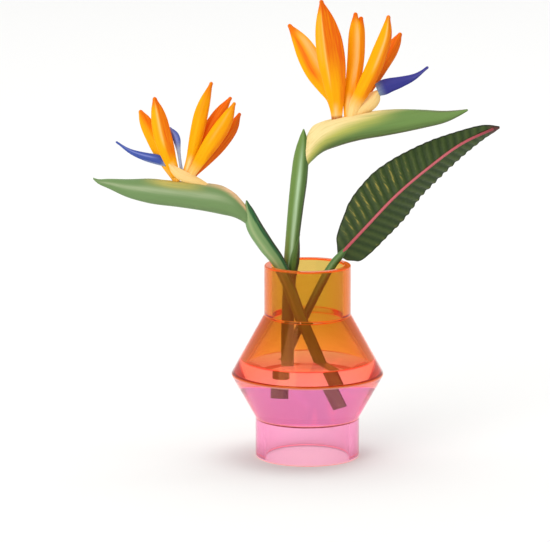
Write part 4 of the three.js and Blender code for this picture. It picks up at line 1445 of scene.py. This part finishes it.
LOW_BLOOM = Bloom(
    name="left",
    stem=Stem(
        rows=(
            (5.9, -1.8, 14.0, 1.35), (3.1, -1.75, 21.7, 1.35),
            (-1.35, -1.7, 32.4, 1.35), (-6.25, -1.6, 45.09, 1.5),
            (-9.6, -1.9, 49.94, 1.82), (-12.3, -2.5, 54.4, 1.8), (-13.35, -2.8, 57.6, 1.2),
            (-14.05, -2.9, 60.45, 0.15),
        ),
        paint=(
            # painted highlight: the pale stroke on the left
            Stroke(Tone.PALE_AND_HIGHLIGHT, -0.35, 0.2, 0.3, 1.1, 0.5),
            Wash(Tone.DEEP, 1.0, 0.0, -0.5, 0.08, 0.95, start=0.45, end=1.4),
            Wash(Tone.DEEP, 1.0, 7.4, -7.1, 0.1, 0.95),
            Wash(Tone.LINE, 1.0, 0.0, -0.85, 0.1, 0.8),
        ),
    ),
    sheaths=(),
    spathe=Spathe(
        rows=(
            (-12.9, 57.6, -12.6, 53.0, -2.1, 1.0), (-14.5, 59.6, -14.1, 54.8, -2.5, 1.7),
            (-16.9, 62.2, -16.6, 56.4, -3.0, 2.1), (-19.9, 63.9, -20.1, 57.3, -3.2, 2.3),
            (-25.3, 64.6, -24.9, 58.3, -3.6, 2.3), (-31.4, 65.2, -30.5, 59.2, -4.2, 2.2),
            (-36.0, 65.7, -35.9, 60.0, -4.8, 1.9), (-41.1, 65.7, -41.0, 61.5, -5.4, 1.5),
            (-45.4, 65.9, -45.3, 63.6, -6.0, 0.9), (-47.7, 65.9, -47.7, 64.8, -6.4, 0.5),
            (-48.9, 66.3, -48.9, 65.9, -6.6, 0.2),
        ),
        way=-1,
        paint=(
            # painted reflection, partly pale paint: the pale stroke along the flank
            Stroke(Tone.PALE_AND_HIGHLIGHT, 0.25, 0.22, 0.15, 1.0, 0.5),
            Wash(Tone.LINE, 1.0, -0.6, -0.3, 0.3, 1.0, start=0.34, end=0.66, fade=0.14),
            Wash(Tone.CREAM, 1.0, -1.5, -0.42, 0.2, 0.9),
            # partly painted shade: darker green on the keel side, below, over its own darker green
            Wash(Tone.DEEP, -1.0, 0.0, -0.7, 0.3, 0.7),
        ),
    ),
    florets=(
        (
            Blade(
                spine=(
                    (-29.6, -3.8, 64.9), (-31.6, -3.3, 68.0), (-33.6, -2.6, 71.5),
                    (-35.4, -1.8, 75.0), (-37.1, -1.1, 78.4), (-38.4, -0.7, 81.0),
                ),
                width=3.4, root=1.9, widest=0.55, tip=4.0, thick=1.7,
                paint=(Wash(Tone.DEEP, 0.4, 1.0, -0.75, 0.25, 0.8), below(Tone.CREAM, 0.3, 0.2, 0.2)),
            ),
            Blade(
                spine=(
                    (-30.0, -4.0, 66.2), (-30.7, -4.3, 68.0), (-31.8, -5.0, 71.2),
                    (-33.05, -5.7, 75.7), (-34.0, -6.2, 80.4), (-34.9, -6.5, 84.8),
                ),
                width=4.05, root=1.9, widest=0.5, tip=3.0, thick=2.1, ease=0.7,
                paint=(
                    # painted highlight: the pale stroke
                    Stroke(Tone.PALE_AND_HIGHLIGHT, -0.1, 0.14, 0.35, 1.0, 0.85),
                    # partly painted shade: the deep orange of the right half, over its orange paint
                    Wash(Tone.DEEP, 1.0, 0.0, -0.05, 0.2, 0.75, start=0.15, end=1.4),
                    beyond(Tone.DEEP, 0.9, 0.07, 0.7),
                    Stroke(Tone.CREAM, 0.1, 0.4, -0.1, 0.22, 0.9),
                ),
            ),
            Blade(
                spine=(
                    (-22.6, -3.8, 63.8), (-24.5, -4.1, 64.8), (-26.6, -4.5, 65.6),
                    (-28.8, -4.9, 66.6), (-30.3, -5.0, 67.7), (-31.7, -4.8, 69.3),
                ),
                width=2.5, root=0.9, widest=0.6, tip=2.4, thick=1.6, nose=0.35, claw_depth=0.8,
                paint=(everywhere(Tone.CREAM),),
            ),
        ),
        (
            Blade(
                spine=(
                    (-28.0, -3.8, 66.5), (-26.9, -3.8, 69.5), (-26.1, -3.8, 72.5),
                    (-25.15, -3.7, 76.8), (-24.15, -3.5, 81.2), (-21.9, -3.0, 87.8),
                ),
                width=3.3, root=1.7, widest=0.56, tip=2.1, thick=1.9, nose=0.42,
                paint=(
                    Stroke(Tone.DEEP, -0.1, 0.5, 0.55, 1.1, 0.3),
                    Stroke(Tone.CREAM, -0.1, 0.5, -0.1, 0.24, 0.85),
                    beyond(Tone.DEEP, 0.88, 0.1, 0.7),
                    # partly painted shade: the deep orange along the right edge, over its orange paint
                    Wash(Tone.DEEP, 1.0, 0.0, -0.6, 0.2, 0.4, start=0.3, end=1.4),
                ),
            ),
            Blade(
                spine=(
                    (-26.6, -3.6, 66.7), (-25.2, -2.6, 71.0), (-22.7, -1.6, 76.2),
                    (-20.1, -0.7, 80.3), (-17.5, 0.0, 83.9),
                ),
                width=3.2, root=1.8, widest=0.58, tip=2.4, thick=1.7, nose=0.42,
                paint=(everywhere(Tone.DEEP, 0.88),),
            ),
            Blade(
                spine=(
                    (-26.9, -4.1, 66.2), (-25.0, -4.7, 69.4), (-22.9, -5.3, 72.7),
                    (-20.9, -5.8, 75.7), (-18.7, -6.2, 79.3), (-16.6, -6.5, 83.6),
                ),
                width=3.8, root=1.9, widest=0.55, tip=2.4, thick=2.0, nose=0.42,
                paint=(
                    # painted highlight: the pale stroke
                    Stroke(Tone.PALE_AND_HIGHLIGHT, -0.3, 0.14, 0.4, 1.0, 0.25),
                    Stroke(Tone.DEEP, 0.0, 0.4, 0.4, 1.1, 0.2),
                    # partly painted shade: the deep orange of the right side, over its orange paint
                    Wash(Tone.DEEP, 1.0, 0.0, -0.55, 0.25, 0.6, start=0.2, end=1.4),
                    beyond(Tone.DEEP, 0.92, 0.08, 0.5),
                    below(Tone.CREAM, 0.12, 0.1, 0.6),
                ),
            ),
            Blade(
                spine=(
                    (-26.2, -3.7, 66.6), (-22.8, -3.6, 70.2), (-19.7, -3.2, 73.8),
                    (-17.2, -2.8, 77.2), (-15.45, -2.5, 80.6),
                ),
                width=3.1, root=1.7, widest=0.55, tip=2.7, thick=1.7, nose=0.42,
                paint=(everywhere(Tone.DEEP, 0.95), Wash(Tone.LINE, 1.0, 0.0, 0.1, 0.5, 0.25)),
            ),
        ),
    ),
    arrow=Blade(
        spine=(
            (-32.3, -3.6, 69.4), (-34.5, -3.6, 70.0), (-37.3, -3.6, 70.7),
            (-40.5, -3.5, 71.9), (-43.8, -3.4, 74.1),
        ),
        width=2.3, root=2.2, widest=0.2, tip=1.3, thick=1.2, nose=0.25,
        paint=(
            # painted highlight: the pale stroke along it
            below(Tone.CREAM, 0.05, 0.06, 0.8), Stroke(Tone.PALE_AND_HIGHLIGHT, 0.35, 0.16, 0.1, 1.0, 0.9),
            Wash(Tone.CREAM, -1.0, 0.0, -0.7, 0.2, 0.5, start=-0.5, end=0.5),
        ),
    ),
    small_petals=(
        Blade(
            spine=(
                (-28.7, -4.0, 66.8), (-29.2, -4.1, 70.0), (-29.6, -4.2, 73.0),
                (-30.1, -4.2, 75.3), (-31.5, -4.2, 77.5),
            ),
            width=1.75, root=0.65, widest=0.76, tip=2.2, thick=0.9, ease=4.0, nose=0.3, claw_depth=0.3,
            # painted highlight: the pale stroke
            paint=(below(Tone.CREAM, 0.6, 0.12, 0.9), Stroke(Tone.PALE_AND_HIGHLIGHT, 0.0, 0.6, 0.5, 1.3, 0.9)),
        ),
    ),
    stem_finish=BrushedPaint(
        "brushed_two_green_vinyl", body="#7FA066", deep="#2A5F36", cream="#C9C98A", pale="#B4C08C",
        line="#3E2E2A",
    ),
    spathe_finish=BrushedPaint(
        "brushed_light_green_vinyl", body="#74925C", deep="#688452", cream="#EDBF90", pale="#C0CBA4",
        line="#C6B862",
    ),
    sepal_finish=SEPAL_PAINT,
    petal_finish=BrushedPaint(
        "brushed_blue_vinyl", body="#4257A8", deep="#34479A", cream="#A8B4CC", pale="#8490D4",
        line="#26286C",
    ),
)


# ------------------------------------------------------------------ the leaf


@dataclass
class Leaf:
    """One leaf: two pleated halves that fold back from a pink midrib, on a green stalk."""

    # x, y and z, from the stalk to the tip
    midrib: Rows = (
        (7.2, 4.0, 46.2), (15.2, 5.0, 54.7), (21.1, 6.2, 60.7), (26.1, 7.0, 64.9),
        (32.3, 7.8, 69.6), (40.7, 8.6, 74.8), (44.4, 8.8, 75.5),
    )
    # The share of the midrib's length, and how wide that half is there
    upper_half: Rows = (
        (0, 0.3), (0.03, 1.85), (0.06, 3.35), (0.12, 4.8), (0.17, 5.75), (0.22, 6.7),
        (0.3, 7.3), (0.38, 7.45), (0.46, 7.05), (0.55, 6.3), (0.7, 4.55), (0.87, 2.05), (1, 0.3),
    )
    lower_half: Rows = (
        (0, 1.45), (0.03, 3.6), (0.06, 5.2), (0.12, 5.9), (0.22, 6.5), (0.38, 7.4),
        (0.55, 6.35), (0.7, 5.05), (0.78, 4.25), (0.87, 3.5), (0.94, 2.6), (1, 0.3),
    )
    thickness: float = 0.7
    rim_thickness: float = 0.4
    thinning: tuple[float, float] = (0.6, 1.0)  # from the midrib, 0, to the rim, 1, where it thins
    rim_line: tuple[float, float] = (0.35, 0.1)  # how far from the rim its dark line starts and is full
    tip_line: tuple[float, float] = (0.93, 0.98)  # the shares of the midrib where the tip's paint comes in
    pleats: float = 24.0
    pleat_depth: float = 0.17
    scallop: float = 0.2
    rake: float = math.tan(math.radians(20))  # how far along a pleat runs for each millimetre outwards
    pleat_start: float = 0.25  # how far out, as a share of the half width, a pleat reaches its depth
    upper_fold: float = math.radians(13)  # how far the upper half folds back
    lower_fold: tuple[float, float] = (math.radians(18), math.radians(45))  # at the stalk and further on
    fold_end: float = 0.5  # the share of the midrib by which the lower half is folded in full
    rows: int = 312  # along the midrib
    columns: int = 30  # on each side of the midrib
    rib_width: float = 0.29  # half the midrib's width at the stalk
    rib_rise: float = 0.1  # how far the midrib's middle stands in front of the blade's
    rib_end: float = 0.97  # the share of the midrib's length where it fades out
    rib_brush: Brush = Brush(spacing=0.6, length=8.0, depth=0.03)
    stalk_brush: Brush = Brush(spacing=0.8, length=8.0, depth=0.04)
    stalk: Stem = Stem(
        rows=(
            (-5.9, 4.0, 20.5, 0.95), (-5.2, 4.0, 22.0, 0.95), (-0.9, 3.9, 31.5, 0.95),
            (5.75, 3.8, 44.11, 0.95), (7.7, 4.1, 46.5, 0.8), (9.0, 4.25, 48.1, 0.4),
        ),
        # painted highlight: the pale stroke on the left; the right side is darker
        paint=(Stroke(Tone.PALE_AND_HIGHLIGHT, -0.3, 0.3, 0.0, 1.1, 0.5), Wash(Tone.DEEP, 1.0, 0.0, -0.2, 0.3, 0.7)),
    )
    # brush is the olive of the painted highlights on the pleats' crests
    blade_finish: LeafPaint = LeafPaint(
        "dry_brushed_green_vinyl", valley="#2C401C", ridge="#445628", brush="#B5A24A", rim="#1E2614",
        tip="#5A3430",
    )
    rib_finish: BrushedPaint = BrushedPaint(
        "brushed_pink_vinyl", body="#C25660", deep="#B8505A", cream="#F0A8A4", pale="#DC8088",
        line="#7A3038",
    )
    stalk_finish: BrushedPaint = BrushedPaint(
        "brushed_leaf_green_vinyl", body="#5E8548", deep="#3E6030", cream="#C9C98A", pale="#94B480",
        line="#3A3028",
    )

    def half_widths(self, rows: Rows, shares: np.ndarray) -> np.ndarray:
        """The width of one half at shares of the midrib's length."""
        samples = Curve(rows).samples
        return np.interp(shares, samples[:, 0], samples[:, 1])

    def blade(self) -> Surface:
        """The smooth blade, with what the pleats need to know at each point."""
        curve = Curve(self.midrib)
        start = np.linspace(0, 1, self.rows)[:, None]
        column = np.linspace(-1, 1, 2 * self.columns + 1)[None]
        out, upper = np.abs(column), column > 0

        def half(shares: np.ndarray) -> np.ndarray:
            """The width of each point's own half."""
            return np.where(
                upper, self.half_widths(self.upper_half, shares), self.half_widths(self.lower_half, shares)
            )

        share = np.minimum(start + out * half(start + 0 * out) * self.rake / curve.length, 1.0)
        width = half(share)
        low, high = self.lower_fold
        fold = np.where(upper, self.upper_fold, low + (high - low) * np.minimum(share / self.fold_end, 1))
        side, front = cross_ways(curve.way(share))
        sine, cosine = np.sin(fold)[..., None], np.cos(fold)[..., None]
        sign = np.sign(column)[..., None]
        middle = curve.at(share) + (side * cosine - front * sine * sign) * (column * width)[..., None]
        swell = np.sin(math.pi * start)
        raised = swell * np.minimum(out / self.pleat_start, 1)
        lift = (side * sine * sign + front * cosine) * raised[..., None]
        push = (side * cosine * sign - front * sine) * (swell * out)[..., None]
        thinning = smooth_step(*self.thinning, out + 0 * start)
        thick = self.thickness + (self.rim_thickness - self.thickness) * thinning
        back = middle - front * self.thickness / 2 - front * (thick / 2)[..., None]
        face = middle - front * self.thickness / 2 + front * (thick / 2)[..., None]
        sheets = {
            "start": start + 0 * column,
            "lift": lift,
            "push": push,
            "spread": np.stack([share * curve.length, column * width, 0 * share], axis=-1),
            "rim": smooth_step(*self.rim_line, (1 - out) * width) + 0 * share,
            "tip": smooth_step(*self.tip_line, share),
            # brush: where the painted highlights may lie
            "brush": self.brushed(upper, out, share),
        }
        return closed_sheet(face, back, sheets)

    def brushed(self, upper: np.ndarray, out: np.ndarray, share: np.ndarray) -> np.ndarray:
        """How much painted highlight each point may carry.

        Args:
            upper: Whether it is on the upper half.
            out: Its place from the midrib, 0, to the rim, 1.
            share: Its place along the midrib.

        Returns:
            The amounts: most on the upper half's first pleats, and a little along the lower rim.
        """
        above = smooth_step(0.15, 0.4, out) * smooth_step(1.0, 0.8, out) * smooth_step(0.6, 0.4, share)
        below_rib = 0.4 * smooth_step(0.8, 0.97, out)
        return np.where(upper, above, below_rib) * smooth_step(0.04, 0.15, share)

    def rib(self) -> Surface:
        """The raised midrib."""
        spine = Curve(self.midrib).at(np.array((0.0, 0.2, 0.4, 0.6, 0.8, self.rib_end)))
        spine[:, 1] -= self.rib_rise
        return Blade(
            spine=spine.tolist(), width=2 * self.rib_width, root=2 * self.rib_width, widest=0.1, tip=1.3,
            thick=0.9, crease=2.0, nose=0.3, rings=160, sides=20,
            paint=(Stroke(Tone.PALE_AND_HIGHLIGHT, -0.3, 0.4, 0.0, 1.0, 0.6), beyond(Tone.LINE, 0.9, 0.1, 0.6)),
        ).surface()

    def build(self, sweep: bpy.types.NodeTree, brushing: bpy.types.NodeTree) -> None:
        """Makes the blade, the midrib and the stalk.

        Args:
            sweep: The tree that sweeps a stem.
            brushing: The tree that raises the lengthwise ridges.
        """
        blade_paint, rib_paint, stalk_paint = (
            finish.material() for finish in (self.blade_finish, self.rib_finish, self.stalk_finish)
        )
        blade = self.blade().piece("leaf_blade", blade_paint)
        apply_tree(blade, pleated_tree(), {
            "Pleats": self.pleats, "Depth": self.pleat_depth, "Scallop": self.scallop, "Finish": blade_paint,
        })
        keep(blade, "leaf_green", "leaf")
        rib = self.rib().piece("leaf_midrib", rib_paint)
        self.rib_brush.work(rib, brushing, rib_paint)
        keep(rib, "leaf_green")
        stalk = self.stalk.piece("leaf_stalk", stalk_paint, sweep)
        self.stalk_brush.work(stalk, brushing, stalk_paint)
        keep(stalk, "leaf_green")


def closed_sheet(face: np.ndarray, back: np.ndarray, values: dict[str, np.ndarray]) -> Surface:
    """A closed plate between two grids of points, its front and its back.

    Args:
        face: The front's points, as (row, column, coordinate).
        back: The back's points.
        values: What both hold, as (row, column) or (row, column, coordinate).

    Returns:
        The surface.
    """
    rows, columns, _ = face.shape
    behind = rows * columns  # what a back point's number has over its front point's
    ids = np.arange(behind).reshape(rows, columns)
    front_quads = np.stack([ids[:-1, :-1], ids[1:, :-1], ids[1:, 1:], ids[:-1, 1:]], axis=-1).reshape(-1, 4)
    back_quads = front_quads[:, ::-1] + behind
    rim = np.concatenate([ids[0, :-1], ids[:-1, -1], ids[-1, :0:-1], ids[:0:-1, 0]])
    following = np.roll(rim, -1)
    walls = np.stack([rim, following, following + behind, rim + behind], axis=-1)
    quads = np.concatenate([front_quads, back_quads, walls])
    doubled = {
        key: np.concatenate([value.reshape(behind, *value.shape[2:])] * 2)
        for key, value in values.items()
    }
    points = np.concatenate([face.reshape(-1, 3), back.reshape(-1, 3)])
    return Surface(points, [tuple(int(i) for i in quad) for quad in quads], doubled)


# ------------------------------------------------------------------ the studio


@dataclass(frozen=True)
class Softbox:
    """A rectangular lamp, placed in millimetres from the vase's axis."""

    name: str
    place: Row
    aim: Row
    size: Row
    watts: float
    colour: str = "#FFFFFF"

    def hang(self) -> None:
        """Hangs it, facing the point that it is aimed at."""
        data = bpy.data.lights.new(self.name, "AREA")
        data.shape = "RECTANGLE"
        data.size, data.size_y = self.size[0] * MM, self.size[1] * MM
        data.energy = self.watts
        data.color = linear(self.colour)[:3]
        box = scene_object(self.name, data)
        start, end = in_frame(np.array(self.place)), in_frame(np.array(self.aim))
        box.location = start
        box.rotation_euler = Vector(end - start).to_track_quat("-Z", "Y").to_euler()


@dataclass
class Studio:
    """The camera, the floor, the lamps and the white surroundings."""

    camera_place: Row = (-7.5, -950.0, 218.0)
    camera_pitch: float = 10.41  # degrees down from level
    lens: float = 274.6
    sensor: float = 36.0
    far_clip: float = 100.0  # metres
    floor_radius: float = 4000.0
    disc_sides: int = 96
    floor_height: float = -0.02  # just below the foot, so that the slip fits between
    # The slip under the foot has a painted glow, which lights the hollow foot from below.
    slip_radius: float = 11.8
    slip_height: float = -0.01
    slip_painted_glow: float = 0.45
    sky: float = 0.62  # the brightness of the surroundings
    softboxes: tuple[Softbox, ...] = (
        Softbox("key_softbox", (-620, -950, 560), (0, 0, 45), (800, 900), 6.5, "#FFFDF8"),
        Softbox("top_softbox", (200, 100, 1100), (0, 0, 50), (700, 700), 3.0),
        Softbox("backdrop_softbox", (0, 1000, 1100), (0, 900, 0), (2400, 1500), 7.5),
    )

    def camera(self) -> None:
        """Sets the camera at the photograph's viewing angle."""
        data = bpy.data.cameras.new("camera")
        data.lens = self.lens
        data.sensor_width = self.sensor
        data.sensor_fit = "HORIZONTAL"
        data.clip_end = self.far_clip
        eye = scene_object("camera", data)
        eye.location = in_frame(np.array(self.camera_place))
        eye.rotation_euler = (math.radians(90 - self.camera_pitch), 0.0, 0.0)
        bpy.context.scene.camera = eye

    def floor(self) -> None:
        """Lays a wide pale floor under the foot, and between the two a slip of paper with a painted glow that
        lights the hollow foot from below.
        """
        slip = FloorPaint("painted_glow_paper", glow=self.slip_painted_glow)
        self.disc("floor", self.floor_radius, self.floor_height, FloorPaint())
        self.disc("painted_glow_slip", self.slip_radius, self.slip_height, slip)

    def disc(self, name: str, radius: float, height: float, finish: FloorPaint) -> None:
        """Lays a level disc about the vase's axis."""
        angles = np.linspace(0, 2 * math.pi, self.disc_sides, endpoint=False)
        rim = np.stack([np.cos(angles) * radius, np.sin(angles) * radius, 0 * angles + height], axis=1)
        Surface(rim, [tuple(range(len(rim)))]).piece(name, finish.material())

    def world(self) -> None:
        """Surrounds the scene with soft white light."""
        world = bpy.data.worlds.new("white_surroundings")
        world.use_nodes = True
        world.node_tree.nodes.clear()
        glow = add_node(
            world.node_tree, "ShaderNodeBackground", {"Color": linear("#FFFFFF"), "Strength": self.sky}
        )
        add_node(world.node_tree, "ShaderNodeOutputWorld", links={"Surface": glow.outputs[0]})
        bpy.context.scene.world = world

    def build(self) -> None:
        """Makes the whole studio."""
        self.camera()
        self.floor()
        for softbox in self.softboxes:
            softbox.hang()
        self.world()
        bpy.context.scene.view_settings.view_transform = "Standard"


# ------------------------------------------------------------------ making


def main() -> None:
    """Builds the arrangement and the studio."""
    logging.basicConfig(level=logging.INFO, format="%(message)s")
    Studio().build()
    Vase().build()
    sweep, brushing = swept_tree(), brushed_tree()
    TALL_BLOOM.build(sweep, brushing)
    LOW_BLOOM.build(sweep, brushing)
    Leaf().build(sweep, brushing)


if __name__ == "__main__":
    main()
